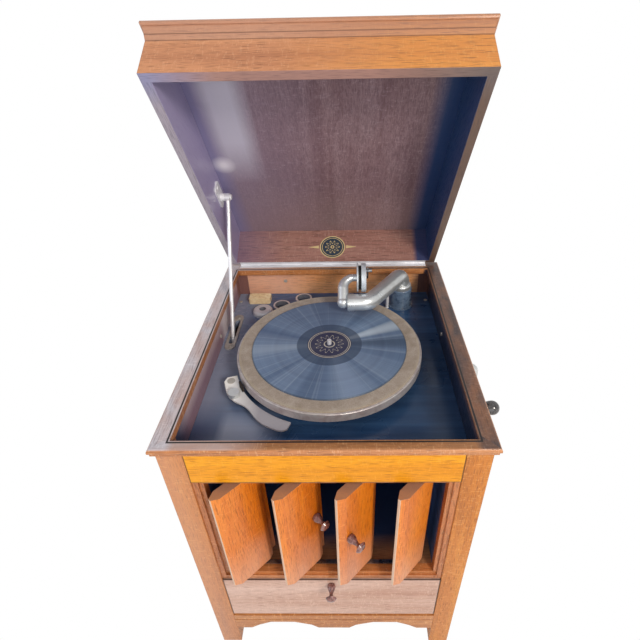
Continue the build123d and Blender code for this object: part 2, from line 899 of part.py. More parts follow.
def stay_rod():
    """The straight stay, from its eye on the lid down through the slotted plate."""
    y, z = stay_pivot()
    here = opened(Pos(0, y, z) * Sphere(hair)).center()
    fall, lean = here.Z - board_top, here.Y - stay_foot_y
    length = hypot(fall, lean) + stay_tail
    bar = rod(stay_rod_r, 0, 0, -length, 0)
    bar += Rot(Y=90) * Cylinder(stay_eye_r, stay_eye_thick)
    bar -= Rot(Y=90) * Cylinder(stay_pin_r + run_gap, stay_eye_thick + 2 * cut_over)
    return Pos(-stay_x, here.Y, here.Z) * Rot(X=-degrees(atan(lean / fall))) * bar


# Turntable
def platter():
    """A pressed disc with a turned-down skirt and a hub underneath."""
    low = platter_top - platter_skirt
    disc = rod(platter_r, 0, spindle_y, low, platter_top)
    disc = fillet(disc.edges().group_by(Axis.Z)[-1], platter_round)
    disc -= rod(platter_r - platter_thick, 0, spindle_y, low - cut_over, platter_top - platter_thick)
    disc += rod(hub_r, 0, spindle_y, platter_top - hub_long, platter_top - platter_thick)
    return disc - rod(spindle_r, 0, spindle_y, low - hub_long, platter_top)\
        - rod(spindle_neck_r, 0, spindle_y, low, platter_top + cut_over)


def felt():
    return rod(felt_r, 0, spindle_y, platter_top, felt_top) - rod(felt_hole_r, 0, spindle_y, platter_top, felt_top)


def record():
    disc = rod(record_r, 0, spindle_y, felt_top, record_top)
    disc = fillet(disc.edges().group_by(Axis.Z)[-1], record_thick * 0.35)
    return disc - rod(record_hole_r, 0, spindle_y, felt_top, record_top)


# Gears
def gear(teeth, module, thick, phase):
    """A spur gear on Z with straight-sided teeth; one tooth points along phase degrees."""
    pitch_r = teeth * module / 2
    root_r, tip_r = pitch_r - 1.25 * module, pitch_r + 0.9 * module
    pitch = 360 / teeth
    root_share, tip_share = 0.29, 0.11
    points = []
    for i in range(teeth):
        middle = phase + i * pitch
        for r, share in ((root_r, -root_share), (tip_r, -tip_share), (tip_r, tip_share), (root_r, root_share)):
            angle = radians(middle + share * pitch)
            points.append((r * cos(angle), r * sin(angle)))
    return prism_z(points, 0, thick)


def mid_place():
    """Where the middle shaft stands, so that it meshes with the barrel and the spindle."""
    a = (barrel_teeth + mid_pinion_teeth) * train_module / 2
    b = (mid_wheel_teeth + spindle_pinion_teeth) * train_module / 2
    dx, dy = barrel_x, wind_y - spindle_y
    c = hypot(dx, dy)
    along = (b * b - a * a + c * c) / (2 * c)
    across = sqrt(b * b - along * along)
    ux, uy = dx / c, dy / c
    return along * ux + across * uy, spindle_y + along * uy - across * ux


def governor_place():
    reach = (governor_wheel_teeth + governor_pinion_teeth) * governor_module / 2
    angle = radians(governor_angle)
    return reach * cos(angle), spindle_y + reach * sin(angle)


def heading(a, b):
    return degrees(atan2(b[1] - a[1], b[0] - a[0]))


def spindle_at():
    return 0, spindle_y


def barrel_at():
    return barrel_x, wind_y


def spindle():
    """The turntable's spindle with its pinion and the governor wheel."""
    low = motor_low + hair
    shaft = rod(spindle_r, 0, spindle_y, low, platter_top - platter_thick)
    shaft += rod(spindle_neck_r, 0, spindle_y, platter_top - platter_thick, record_top + hair)
    shaft += rod(spindle_tip_r, 0, spindle_y, record_top + hair, record_top + spindle_tip_rise)
    to_mid = heading(spindle_at(), mid_place())
    pinion = gear(spindle_pinion_teeth, train_module, gear_thick, to_mid)
    shaft += Pos(0, spindle_y, wheel_level()) * pinion
    to_governor = heading(spindle_at(), governor_place())
    wheel = gear(governor_wheel_teeth, governor_module, wheel_thick, to_governor)
    return shaft + Pos(0, spindle_y, governor_level()) * wheel


def barrel_gear_level():
    return barrel_low - gear_thick


def wheel_level():
    return barrel_gear_level() - gear_thick - wheel_thick


def governor_level():
    return motor_top - wheel_thick - 3 * plate_thick - bevel_outer / 2


def barrel():
    """The spring barrel with the great wheel under it; it turns on the arbor."""
    drum = rod(barrel_r, barrel_x, wind_y, barrel_low, barrel_low + barrel_high)
    drum = fillet(drum.edges().group_by(Axis.Z)[-1], plate_thick)
    to_mid = heading(barrel_at(), mid_place())
    drum += Pos(barrel_x, wind_y, barrel_gear_level()) * gear(barrel_teeth, train_module, gear_thick, to_mid)
    low, high = barrel_gear_level() - cut_over, barrel_low + barrel_high + cut_over
    return drum - rod(arbor_r + run_gap, barrel_x, wind_y, low, high)


def bevel(teeth, half_angle_tan, phase):
    """A bevel gear whose cone's point is at the origin and whose teeth face it, opening along +Z."""
    module = 2 * bevel_outer / bevel_teeth
    big = teeth * module / 2
    reach = big / half_angle_tan
    near = bevel_inner / bevel_outer
    ends = []
    for share in (near, 1):
        size = share * teeth * module / 2
        outline = gear(teeth, module * share, plate_thick, phase).faces().sort_by(Axis.Z)[0]
        ends.append(Pos(0, 0, share * reach + bevel_gap) * outline)
    return loft(ends, ruled=True)


def arbor():
    """The barrel's arbor with the bevel wheel that the crank turns."""
    at = Pos(barrel_x, wind_y, wind_z)
    wheel = at * Rot(X=180) * bevel(bevel_teeth, bevel_teeth / bevel_pinion_teeth, 0)
    low = wind_z - bevel_outer / 2 - bevel_gap
    shaft = rod(arbor_r, barrel_x, wind_y, motor_low + hair, low)
    collar = rod(arbor_r + plate_thick, barrel_x, wind_y, barrel_low + barrel_high + hair, low)
    return shaft + collar + wheel


def middle_shaft():
    """The middle shaft: pinion against the barrel's wheel, wheel against the spindle's pinion."""
    x, y = mid_place()
    shaft = rod(mid_shaft_r, x, y, motor_low + hair, motor_top - hair)
    half = 180 / mid_pinion_teeth
    pinion = gear(mid_pinion_teeth, train_module, 2 * gear_thick, heading((x, y), barrel_at()) + half)
    shaft += Pos(x, y, barrel_gear_level() - gear_thick / 2 - hair) * pinion
    half = 180 / mid_wheel_teeth
    wheel = gear(mid_wheel_teeth, train_module, wheel_thick, heading((x, y), spindle_at()) + half)
    return shaft + Pos(x, y, wheel_level() + hair) * wheel


def governor():
    """The governor: a pinion, two collars, and three sprung weights round the shaft."""
    x, y = governor_place()
    shaft = rod(governor_shaft_r, 0, 0, motor_low + hair, motor_top - hair)
    half = 180 / governor_pinion_teeth
    pinion = gear(governor_pinion_teeth, governor_module, 2 * wheel_thick,
                  heading((x, y), spindle_at()) + half)
    shaft += Pos(0, 0, governor_level() - wheel_thick / 2) * pinion
    collar_high = governor_collar_r * 0.7
    for z in (governor_mid - governor_spring_half, governor_mid + governor_spring_half):
        shaft += rod(governor_collar_r, 0, 0, z - collar_high / 2, z + collar_high / 2)
    spring_face = Polyline((governor_collar_r * 0.8, 0, governor_mid - governor_spring_half),
                           (governor_ball_out, 0, governor_mid - governor_ball_r * 0.8),
                           (governor_ball_out, 0, governor_mid + governor_ball_r * 0.8),
                           (governor_collar_r * 0.8, 0, governor_mid + governor_spring_half))
    inner = [Vector(p) for p in spring_face.vertices()]
    outline = [(v.X, v.Z) for v in inner]
    thick = governor_spring_thick
    outline += [(px - thick, pz + (governor_mid - pz) * 0.1) for px, pz in reversed(outline)]
    blade = extrude(Plane.XZ * Polygon(*outline, align=None), governor_spring_wide / 2, both=True)
    weight = Pos(governor_ball_out, 0, governor_mid) * Sphere(governor_ball_r)
    for i in range(3):
        shaft += Rot(Z=120 * i) * (blade + weight)
    return Pos(x, y, 0) * shaft


def motor_plates():
    """Top and bottom plates with a bearing hole for each shaft."""
    made = []
    for low, high in ((motor_top - plate_thick, motor_top), (motor_low - plate_thick, motor_low + plate_thick)):
        plate = slab(-motor_left, motor_right, motor_front, motor_back, low, high)
        plate = fillet(upright_edges(plate), motor_corner)
        made.append(plate)
    holes = [(spindle_at(), spindle_r), (mid_place(), mid_shaft_r), (governor_place(), governor_shaft_r)]
    for (x, y), r in holes:
        made = [plate - rod(r + run_gap, x, y, motor_low - hair, board_low) for plate in made]
    made[1] -= rod(arbor_r + run_gap, barrel_x, wind_y, motor_low - hair, board_low)
    return made


def motor_pillars():
    return [rod(pillar_r, x, y, motor_low + plate_thick, motor_top - plate_thick) for x, y in board_bolts()]


def motor_bolts():
    """Bolts through the board with spacers between the board and the motor."""
    made = []
    for x, y in board_bolts():
        bolt = rod(bolt_r, x, y, motor_top, board_top)
        bolt += rod(bolt_head_r, x, y, board_top, board_top + bolt_head_high)
        made.append(bolt + rod(bolt_head_r, x, y, motor_top, board_low))
    return made


def wind_bearing():
    """A bracket on the motor's bottom plate that carries the winding shaft."""
    x1 = motor_right - pillar_inset - 2 * pillar_r
    x0 = x1 - 2 * plate_thick
    wide = 2 * wind_shaft_r + 2 * plate_thick
    arm = slab(x0, x1, wind_y - wide / 2, wind_y + wide / 2, wind_z - wide / 2, motor_top - plate_thick)
    return arm - rod_x(wind_shaft_r + run_gap, x0 - cut_over, x1 + cut_over, wind_y, wind_z)


def escutcheon():
    x0 = well_half + side_thick
    ring = rod_x(plate_r, x0, x0 + plate_high, wind_y, wind_z)
    return ring - rod_x(wind_shaft_r + run_gap, x0 - cut_over, x0 + plate_high + cut_over, wind_y, wind_z)


# Crank
def wind_shaft():
    """The winding shaft with its bevel pinion, out to where the crank is screwed on."""
    cone = Pos(barrel_x, wind_y, wind_z) * Rot(Y=90)
    half = 180 / bevel_pinion_teeth
    pinion = cone * bevel(bevel_pinion_teeth, bevel_pinion_teeth / bevel_teeth, half)
    x0 = barrel_x + bevel_inner
    return pinion + rod_x(wind_shaft_r, x0 + plate_thick, well_half + side_thick + plate_high + cut_over, wind_y, wind_z)


def crank():
    """The bent crank: along X out of the case, round a bend and down to the grip's pin."""
    x0 = well_half + side_thick + plate_high + cut_over
    bend_x = crank_plane - crank_bend
    shaft = rod_x(crank_r, x0, bend_x, wind_y, wind_z)
    circle = Pos(bend_x, wind_y, wind_z) * Rot(Y=90) * Circle(crank_r)
    centre = Axis((bend_x, wind_y, wind_z - crank_bend), (0, 1, 0))
    shaft += revolve(circle, centre, 90)
    tip = wind_z - crank_arm
    shaft += rod(crank_r, crank_plane, wind_y, tip, wind_z - crank_bend)
    shaft += rod_x(crank_boss_r, crank_plane - crank_boss_long / 2, crank_plane + crank_boss_long / 2, wind_y, tip)
    end = crank_plane + crank_boss_long / 2 + grip_gap + grip_long * 0.8
    return shaft + rod_x(grip_pin_r, crank_plane, end, wind_y, tip)


def grip():
    """A turned grip: narrow at the crank, then a bulb with a rounded end."""
    bulb_z = grip_long - grip_ball_r
    dip = grip_neck_r * 0.8
    neck = Spline((grip_neck_r, 0, 0), (dip, 0, grip_long * 0.25), (grip_ball_r, 0, bulb_z),
                  tangents=((0, 0, 1), (0, 0, 1)))
    ball = ThreePointArc((grip_ball_r, 0, bulb_z), (grip_ball_r * sin(pi / 4), 0, bulb_z + grip_ball_r * cos(pi / 4)),
                         (0, 0, grip_long))
    axis = Line((0, 0, grip_long), (0, 0, 0))
    foot = Line((0, 0, 0), (grip_neck_r, 0, 0))
    turned = revolve(make_face([neck, ball, axis, foot]), Axis.Z)
    turned -= rod(grip_pin_r + run_gap, 0, 0, -cut_over, grip_long * 0.8 + hair)
    x0 = crank_plane + crank_boss_long / 2 + grip_gap
    return Pos(x0, wind_y, wind_z - crank_arm) * Rot(Y=90) * turned


# Tonearm
def arm_cup():
    """The black base that the tonearm turns in."""
    top = rim_height - cup_top_drop
    cup = rod(cup_r, arm_x, arm_y, board_top, top)
    cup = fillet(cup.edges().group_by(Axis.Z)[-1], arm_wall)
    cup += rod(cup_flange_r, arm_x, arm_y, board_top, board_top + cup_flange_thick)
    return cup - rod(arm_tube_r + run_gap, arm_x, arm_y, board_top - cut_over, top + cut_over)


def arm_post():
    """The short post on the board that stops the arm's swing."""
    foot = rod(post_foot_r, post_x, post_y, board_top, board_top + screw_head_high)
    return foot + rod(post_r, post_x, post_y, board_top, board_top + post_high)


def corner_place():
    """Where the arm's straight tube would meet its end, in X and Y."""
    yaw = radians(arm_yaw)
    return arm_x - arm_reach * sin(yaw), arm_y - arm_reach * cos(yaw)


def arm_solid(inset):
    """The tonearm's outer form, or its bore when inset by the wall."""
    big, small = arm_tube_r - inset, arm_end_r - inset
    over = cut_over if inset else 0
    low = board_top + cup_flange_thick - over
    riser = rod(big, arm_x, arm_y, low, arm_z - arm_bend)
    turn = Pos(arm_x, arm_y, arm_z - arm_bend) * Rot(Z=-arm_yaw)
    bend = turn * revolve(Circle(big), Axis((0, -arm_bend, 0), (1, 0, 0)), 90)
    corner_turn = 90 - arm_yaw
    trim = elbow_bend * tan(radians(corner_turn) / 2)
    run = arm_reach - arm_bend - trim
    cone = Cone(big, small, run, align=(Align.CENTER, Align.CENTER, Align.MIN))
    start = Pos(arm_x, arm_y, arm_z) * Rot(Z=-arm_yaw) * Pos(0, -arm_bend, 0)
    tube = start * Rot(X=90) * cone
    elbow_start = start * Pos(0, -run, 0)
    face = elbow_start * (Plane.XZ * Circle(small))
    pivot = elbow_start * Pos(-elbow_bend, 0, 0)
    elbow = revolve(face, Axis(pivot.position, (0, 0, 1)), -corner_turn)
    x, y = corner_place()
    end = rod_x(small, collar_left - over, x - trim, y, arm_z)
    return riser + bend + tube + elbow + end


def arm():
    """The tapered tube from the base to the swivel, hollow, with a ring over the base and a ribbed collar."""
    x, y = corner_place()
    low = rim_height - cup_top_drop + hair
    ring = rod(arm_ring_r, arm_x, arm_y, low, low + arm_ring_high)
    ring = fillet(ring.edges().group_by(Axis.Z)[-1], arm_ring_round)
    body = arm_solid(0) + ring
    for i in range(collar_ribs):
        x0 = collar_left + 2 * i * collar_rib_wide
        body += rod_x(collar_r, x0, x0 + collar_rib_wide, y, arm_z)
    return body - arm_solid(arm_wall)


def sound_frame():
    """A place on the swivel's axis, turned so that Z points at the soundbox's middle."""
    x, y = corner_place()
    reach_y, reach_z = sound_y - y, sound_z - arm_z
    return Pos(0, y, arm_z) * Rot(X=-degrees(atan2(reach_y, reach_z))), hypot(reach_y, reach_z)


def gooseneck():
    """The bent neck that carries the soundbox and turns in the arm's collar."""
    place, reach = sound_frame()
    start = collar_left - neck_gap
    neck = Pos(neck_x, 0, 0) * Rot(Y=90) * Sphere(neck_ball_r)
    neck += rod_x(neck_flange_r, start - neck_flange, start, 0, 0)
    spigot = arm_end_r - arm_wall - run_gap
    neck += rod_x(spigot, start, start + neck_plug, 0, 0)
    neck += rod(neck_tube_r, neck_x, 0, 0, reach - neck_bend)
    centre = Pos(neck_x + neck_bend, 0, reach - neck_bend)
    rings = []
    for share in neck_bend_shares:
        size = neck_tube_r + share * (neck_tip_r - neck_tube_r)
        rings.append(centre * Rot(Y=90 * share) * Pos(-neck_bend, 0, 0) * Circle(size))
    neck += loft(rings)
    neck += rod_x(neck_tip_r, neck_x + neck_bend, neck_end, 0, reach)
    return place * neck


def sound_parts():
    """Soundbox, in the frame whose X is its axis: back plate and shell, gasket, diaphragm."""
    place, reach = sound_frame()
    at = place * Pos(0, 0, reach)
    x1 = neck_end + sound_back_thick
    x2 = x1 + sound_gasket_thick
    x3 = x2 + sound_shell_thick
    back = rod_x(sound_r, neck_end, x1, 0, 0)
    gasket = rod_x(sound_gasket_r, x1, x2, 0, 0)
    shell = rod_x(sound_r, x2, x3, 0, 0)
    shell = fillet(shell.edges().filter_by(GeomType.CIRCLE).sort_by(Axis.X)[-1], bar_gap)
    shell -= rod_x(sound_dish_r, x3 - sound_dish_deep, x3 + cut_over, 0, 0)
    mica = rod_x(sound_dish_r, x3 - sound_dish_deep, x3 - sound_dish_deep + sound_mica_thick, 0, 0)
    return at, back, shell, gasket, mica, x3


def sound_shell():
    at, back, shell, gasket, mica, face = sound_parts()
    return [at * back, at * shell]


def sound_gasket():
    parts = sound_parts()
    return parts[0] * parts[3]


def sound_mica():
    parts = sound_parts()
    return parts[0] * parts[4]


def throw_back():
    """How far the soundbox is turned back from playing, in degrees."""
    x, y = corner_place()
    place, reach = sound_frame()
    play = 180 - degrees(atan2(play_rise - arm_rise, sqrt(reach * reach - (play_rise - arm_rise) ** 2)))
    rest = degrees(atan2(sound_z - arm_z, sound_y - y))
    return play - rest


def stylus():
    """The stylus bar across the soundbox, its clamp screw, and the needle."""
    at, back, shell, gasket, mica, face = sound_parts()
    place, reach = sound_frame()
    rest = degrees(atan2(sound_z - arm_z, sound_y - corner_place()[1]))
    in_play = degrees(atan2(-needle_play_drop, -needle_play_fore))
    lean = in_play - throw_back() - rest
    tip = hypot(needle_play_drop, needle_play_fore)
    mid = face + bar_gap + bar_thick / 2
    bar = slab(face + bar_gap, face + bar_gap + bar_thick, -bar_wide / 2, bar_wide / 2, 0, tip - needle_long + cut_over)
    bar += rod_x(bar_wide / 2, face - sound_dish_deep + sound_mica_thick, face + bar_gap + bar_thick, 0, 0)
    bar += rod_x(clamp_r, face, face + bar_gap + clamp_long, 0, sound_r * 0.82)
    needle = Pos(mid, 0, tip - needle_long) * Cone(needle_r, needle_r * 0.2, needle_long,
                                                    align=(Align.CENTER, Align.CENTER, Align.MIN))
    return at * Rot(X=lean) * (bar + needle)


# Brake lever and speed knob
def lever_point(turn_share, wide_share):
    """A point of the lever's outline, from shares of its sweep and of its width."""
    angle = radians(lever_start + turn_share * (lever_end - lever_start))
    reach = platter_r + lever_gap + wide_share * lever_wide
    return reach * cos(angle), spindle_y + reach * sin(angle), 0


def lever():
    """A flat lever that follows the turntable's edge: a broad head, a waist and a wider tail."""
    z0 = lever_top - lever_thick
    corner = [lever_point(*shares) for shares in lever_corner_shares]
    edge = [lever_point(*shares) for shares in lever_edge_shares]
    inner = [lever_point(*shares) for shares in lever_inner_shares]
    face = make_face([Polyline(*corner), Spline(*edge), Line(edge[-1], inner[0]), ThreePointArc(*inner)])
    plate = extrude(Pos(0, 0, z0) * face, lever_thick, dir=(0, 0, 1))
    plate -= rod(lever_pivot_r + run_gap, lever_pivot_x, lever_pivot_y, z0 - cut_over, lever_top + cut_over)
    return plate - rod(speed_stem_r + run_gap, speed_x, speed_y, z0 - cut_over, lever_top + cut_over)


def lever_pivot():
    """The shouldered screw that the lever turns on."""
    z0 = lever_top - lever_thick - hair
    screw = rod(2 * lever_pivot_r, lever_pivot_x, lever_pivot_y, board_top, z0)
    screw += rod(lever_pivot_r, lever_pivot_x, lever_pivot_y, z0, lever_top + hair)
    return screw + rod(2 * lever_pivot_r, lever_pivot_x, lever_pivot_y, lever_top + hair, lever_top + hair + screw_head_high)


def brake_pad():
    """A thin leather pad on the lever's inner edge that meets the turntable's skirt."""
    angle = radians(pad_angle)
    r = platter_r + pad_gap + pad_wide / 2
    pad = slab(-pad_wide / 2, pad_wide / 2, -pad_long / 2, pad_long / 2, lever_top, lever_top + pad_high)
    return Pos(r * cos(angle), spindle_y + r * sin(angle), 0) * Rot(Z=pad_angle) * pad


def speed_knob():
    """A fluted knob on a short stem through the lever's head."""
    z0 = lever_top + hair
    knob = rod(speed_r, 0, 0, z0, z0 + speed_high)
    knob = fillet(knob.edges().group_by(Axis.Z)[-1], flute_r)
    for i in range(speed_flutes):
        knob -= Rot(Z=360 * i / speed_flutes) * rod(flute_r, speed_r, 0, z0 - hair, z0 + speed_high + hair)
    knob += rod(speed_stem_r, 0, 0, lever_top - lever_thick - hair, z0)
    knob += rod(2 * speed_stem_r, 0, 0, lever_top - 2 * lever_thick - hair, lever_top - lever_thick - hair)
    return Pos(speed_x, speed_y, 0) * knob


parts = {
    "posts": posts(),
    "case_panels": case_panels(),
    "top_rail": top_rail(),
    "louvre_frame": louvre_frame(),
    "pivot_pins": leaf_pivots() + flap_pins(),
    "shelves": shelves(),
    "aprons": aprons(),
    "rim": rim(),
    "board_cleats": cleats(),
    "motor_board": motor_board(),
    "needle_cups": needle_cups(),
    "used_needle_cup": used_cup(),
    "cream_block": block(),
    "stay_plate": stay_plate(),
    "screws": screws() + [lever_pivot()],
    "horn_top": horn_top(),
    "horn_sides": horn_sides(),
    "horn_throat": throat(),
    "flap": flap(),
    "flap_knob": flap_knob(),
    "hinge_base": hinge_base(),
    "hinge_lid": opened(hinge_lid()),
    "lid_walls": opened(lid_walls()),
    "lid_top": opened(lid_top()),
    "stay_bracket": opened(stay_bracket()),
    "stay_rod": stay_rod(),
    "platter": platter(),
    "felt": felt(),
    "record": record(),
    "spindle": spindle(),
    "barrel": barrel(),
    "barrel_arbor": arbor(),
    "middle_shaft": middle_shaft(),
    "governor": governor(),
    "motor_plates": motor_plates() + [wind_bearing()],
    "motor_pillars": motor_pillars(),
    "motor_bolts": motor_bolts(),
    "escutcheon": escutcheon(),
    "winding_shaft": wind_shaft(),
    "crank": crank(),
    "crank_grip": grip(),
    "arm_cup": arm_cup(),
    "arm_post": arm_post(),
    "tonearm": arm(),
    "gooseneck": gooseneck(),
    "sound_shell": sound_shell(),
    "sound_gasket": sound_gasket(),
    "sound_mica": sound_mica(),
    "stylus": stylus(),
    "brake_lever": lever(),
    "brake_pad": brake_pad(),
    "speed_knob": speed_knob(),
    "leaf_link": leaf_link(),
}
for number in range(leaf_count):
    parts["leaf_%d" % (number + 1)] = leaf(number)
parts["leaf_knob_2"] = leaf_knob(1, 1)
parts["leaf_knob_3"] = leaf_knob(2, -1)

# Move everything so that the origin is the middle of the bottom, and write the files
solids = {}
for name, shape in parts.items():
    pieces = shape if isinstance(shape, list) else [shape]
    solids[name] = [solid for piece in pieces for solid in piece.solids()]
whole = Compound([solid for group in solids.values() for solid in group]).bounding_box()
shift = Pos(-whole.center().X, -whole.center().Y, -whole.min.Z)
os.makedirs("parts", exist_ok=True)
for name, group in solids.items():
    export_step(Compound([shift * solid for solid in group]), "parts/" + name + ".step")
print("origin in the case's own frame:", whole.center().X, whole.center().Y, whole.min.Z)
print("nodes:", len(solids), "solids:", sum(len(group) for group in solids.values()))
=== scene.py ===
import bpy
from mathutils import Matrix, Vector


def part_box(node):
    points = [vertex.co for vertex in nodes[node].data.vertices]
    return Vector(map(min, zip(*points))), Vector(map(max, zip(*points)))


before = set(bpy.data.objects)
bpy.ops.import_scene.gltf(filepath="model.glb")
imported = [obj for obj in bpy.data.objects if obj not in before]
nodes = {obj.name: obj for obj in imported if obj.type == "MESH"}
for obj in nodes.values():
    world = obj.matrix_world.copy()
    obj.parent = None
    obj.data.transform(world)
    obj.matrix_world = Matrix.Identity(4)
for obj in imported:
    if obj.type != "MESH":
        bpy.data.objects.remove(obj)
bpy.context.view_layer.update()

# Camera
# A view from above and in front, as somebody standing at the gramophone sees it,
# near enough for the case to taper towards its feet.
from math import cos, pi, radians

import bpy
from mathutils import Matrix, Vector

MM = 0.001
rim_low, rim_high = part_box("rim")
case_x = (rim_low.x + rim_high.x) / 2
case_y = rim_low.y


def at(x, y, z):
    """A place given in millimetres from the middle of the rim's front lip, at the floor."""
    return Vector((case_x + x * MM, case_y + y * MM, z * MM))


camera_data = bpy.data.cameras.new("camera")
camera = bpy.data.objects.new("camera", camera_data)
bpy.context.scene.collection.objects.link(camera)
camera_data.sensor_width = 36
camera_data.lens = 25.53
camera_data.shift_x = -0.0333
camera_data.shift_y = -0.0259
eye = at(33.2, -358.5, 1010.7)
yaw, pitch, roll = radians(1.17), radians(33.52), radians(-1.21)
aim = (Matrix.Rotation(yaw, 4, "Z") @ Matrix.Rotation(pi / 2 - pitch, 4, "X")
       @ Matrix.Rotation(roll, 4, "Z"))
camera.matrix_world = Matrix.Translation(eye) @ aim
bpy.context.scene.camera = camera
bpy.context.scene.view_settings.view_transform = "Standard"

# Floor and light
# A plain white floor and white surroundings, with light as from a window at the front
# right and a weaker one at the left, a low fill from the front and soft light all round.


def linear(code):
    """An sRGB hex colour as linear red, green, blue and alpha."""
    parts = [int(code[i:i + 2], 16) / 255 for i in (1, 3, 5)]
    return [p / 12.92 if p <= 0.04045 else ((p + 0.055) / 1.055) ** 2.4 for p in parts] + [1]


def add(tree, kind, takes=None, gives=0, stops=(), **settings):
    """Adds a node with its settings. An input takes a number, a hex colour or an output."""
    made = tree.nodes.new("ShaderNode" + kind)
    for name, value in settings.items():
        setattr(made, name, value)
    for name, value in (takes or {}).items():
        if isinstance(value, bpy.types.NodeSocket):
            tree.links.new(value, made.inputs[name])
        else:
            made.inputs[name].default_value = linear(value) if isinstance(value, str) else value
    while stops and len(made.color_ramp.elements) < len(stops):
        made.color_ramp.elements.new(0.5)
    for number, (place, tone) in enumerate(stops):
        made.color_ramp.elements[number].position = place
        made.color_ramp.elements[number].color = linear(tone)
    return made.outputs[gives] if made.outputs else None


def material(name):
    """A new material with an empty tree."""
    made = bpy.data.materials.new(name)
    made.use_nodes = True
    made.node_tree.nodes.clear()
    return made, made.node_tree


floor_wide, floor_gap = 14, 0.0005
bpy.ops.object.select_all(action="DESELECT")
bpy.ops.mesh.primitive_plane_add(size=floor_wide, location=(0, 0, -floor_gap))
floor = bpy.context.object
floor.name = "floor"
bpy.ops.object.transform_apply(location=True, rotation=True, scale=True)
finish, tree = material("matt_white_paint_rolled")
rays = add(tree, "LightPath").node.outputs
paint = add(tree, "BsdfDiffuse", {"Color": "#f4f4f4", "Roughness": 1.0})
white = add(tree, "Emission", {"Color": "#ffffff", "Strength": 1.0})
shown = add(tree, "MixShader", {0: rays["Is Camera Ray"], 1: paint, 2: white})
add(tree, "OutputMaterial", {"Surface": shown})
floor.data.materials.append(finish)

room_light, white_light = 0.62, 1.0
room = bpy.data.worlds.new("room")
bpy.context.scene.world = room
room.use_nodes = True
tree = room.node_tree
tree.nodes.clear()
rays = add(tree, "LightPath").node.outputs
seen = add(tree, "Math", {0: rays["Is Camera Ray"], 1: rays["Is Transmission Ray"]}, operation="MAXIMUM")
strength = add(tree, "MapRange", {"Value": seen, "To Min": room_light, "To Max": white_light})
light = add(tree, "Background", {"Color": "#ffffff", "Strength": strength})
add(tree, "OutputWorld", {"Surface": light})


def lamp(name, place, target, size, power, tint):
    """A square area lamp aimed at a point."""
    data = bpy.data.lights.new(name, "AREA")
    data.size = size
    data.energy = power
    data.color = linear(tint)[:3]
    made = bpy.data.objects.new(name, data)
    bpy.context.scene.collection.objects.link(made)
    made.location = place
    made.rotation_mode = "QUATERNION"
    made.rotation_quaternion = (Vector(target) - Vector(place)).to_track_quat("-Z", "Y")


middle = at(0, 230, 500)
lamp("window_right", (1.25, -2.1, 2.1), middle, 0.6, 46, "#fff6ea")
lamp("window_left", (-2.2, -1.2, 1.7), middle, 1.8, 14, "#e6ecff")
lamp("front_fill", (0.2, -3.0, 0.9), at(0, 0, 300), 2.0, 16, "#ffffff")

# Posts, rails, leaves, flap and aprons
# Quarter-sawn white oak, glued up, fumed and varnished to a golden orange that shines
# softly. Dark pores run along the boards and pale ray flecks lie across them.

# The pores are drawn 0.9 mm wide, about three times their real width, so that they show.
pore_wide, pore_long, pore_deep, pore_dark = 0.9, 18, 0.15, 0.55
fleck_wide, fleck_long, fleck_pale = 11, 2.6, 0.42
band_wide, band_long, band_shift = 5, 260, 0.22
tone_wide, tone_long = 45, 420
edge_round = 1.0


def object_place(tree, turn):
    """Object coordinates, turned back first where a piece is modelled standing open."""
    place = add(tree, "TexCoord", gives="Object")
    if turn is None:
        return place
    return add(tree, "Mapping", {"Vector": place, "Location": turn[0], "Rotation": turn[1]})


def case_place(tree, turn=None):
    """X, Y and Z in millimetres from the middle of the rim's front lip, at the floor."""
    moved = add(tree, "Mapping", {"Vector": object_place(tree, turn), "Scale": (1 / MM, 1 / MM, 1 / MM),
                                  "Location": (-case_x / MM, -case_y / MM, 0)})
    return tuple(add(tree, "SeparateXYZ", {0: moved}).node.outputs)


def along_grain(tree, axis, turn=None):
    """Millimetres, turned so that Z runs along the grain."""
    to_z = {"x": (0, -pi / 2, 0), "y": (pi / 2, 0, 0), "z": (0, 0, 0)}[axis]
    return add(tree, "Mapping", {"Vector": object_place(tree, turn), "Scale": (1 / MM, 1 / MM, 1 / MM),
                                 "Rotation": to_z})


def either_grain(tree, swap, first, second, turn=None):
    """The grain along one axis, and along another where a share says so."""
    return add(tree, "Mix", {0: swap, 4: along_grain(tree, first, turn), 5: along_grain(tree, second, turn)},
               gives=1, data_type="VECTOR")


def streaks(tree, vector, wide, long, detail=2.0, distort=0.0, seed=0.0):
    """Noise drawn out along the grain; sizes in millimetres."""
    drawn = add(tree, "Mapping", {"Vector": vector, "Location": (seed, seed * 1.7, seed * 0.6),
                                  "Scale": (1 / wide, 1 / wide, 1 / long)})
    return add(tree, "TexNoise", {"Vector": drawn, "Scale": 1.0, "Detail": detail, "Distortion": distort})


def share(tree, *fades):
    """How far a mark shows. Each fade is a share already, or a place with its two limits:
    the one where the mark is gone and the one where it is whole."""
    whole = None
    for fade in fades:
        if isinstance(fade, tuple):
            fade = add(tree, "MapRange", {0: fade[0], 1: fade[1], 2: fade[2]})
        whole = fade if whole is None else add(tree, "Math", {0: whole, 1: fade}, operation="MULTIPLY")
    return whole


def stain(tree, colour, tone, strength, *fades):
    """Another tone laid over a colour, as strong as its fades let it show."""
    amount = add(tree, "Math", {0: share(tree, *fades), 1: strength}, operation="MULTIPLY")
    return add(tree, "Mix", {0: amount, 6: colour, 7: tone}, gives=2, data_type="RGBA")


def off_line(tree, place, line):
    """How far a place lies from a line, to either side."""
    apart = add(tree, "Math", {0: place, 1: line}, operation="SUBTRACT")
    return add(tree, "Math", {0: apart}, operation="ABSOLUTE")


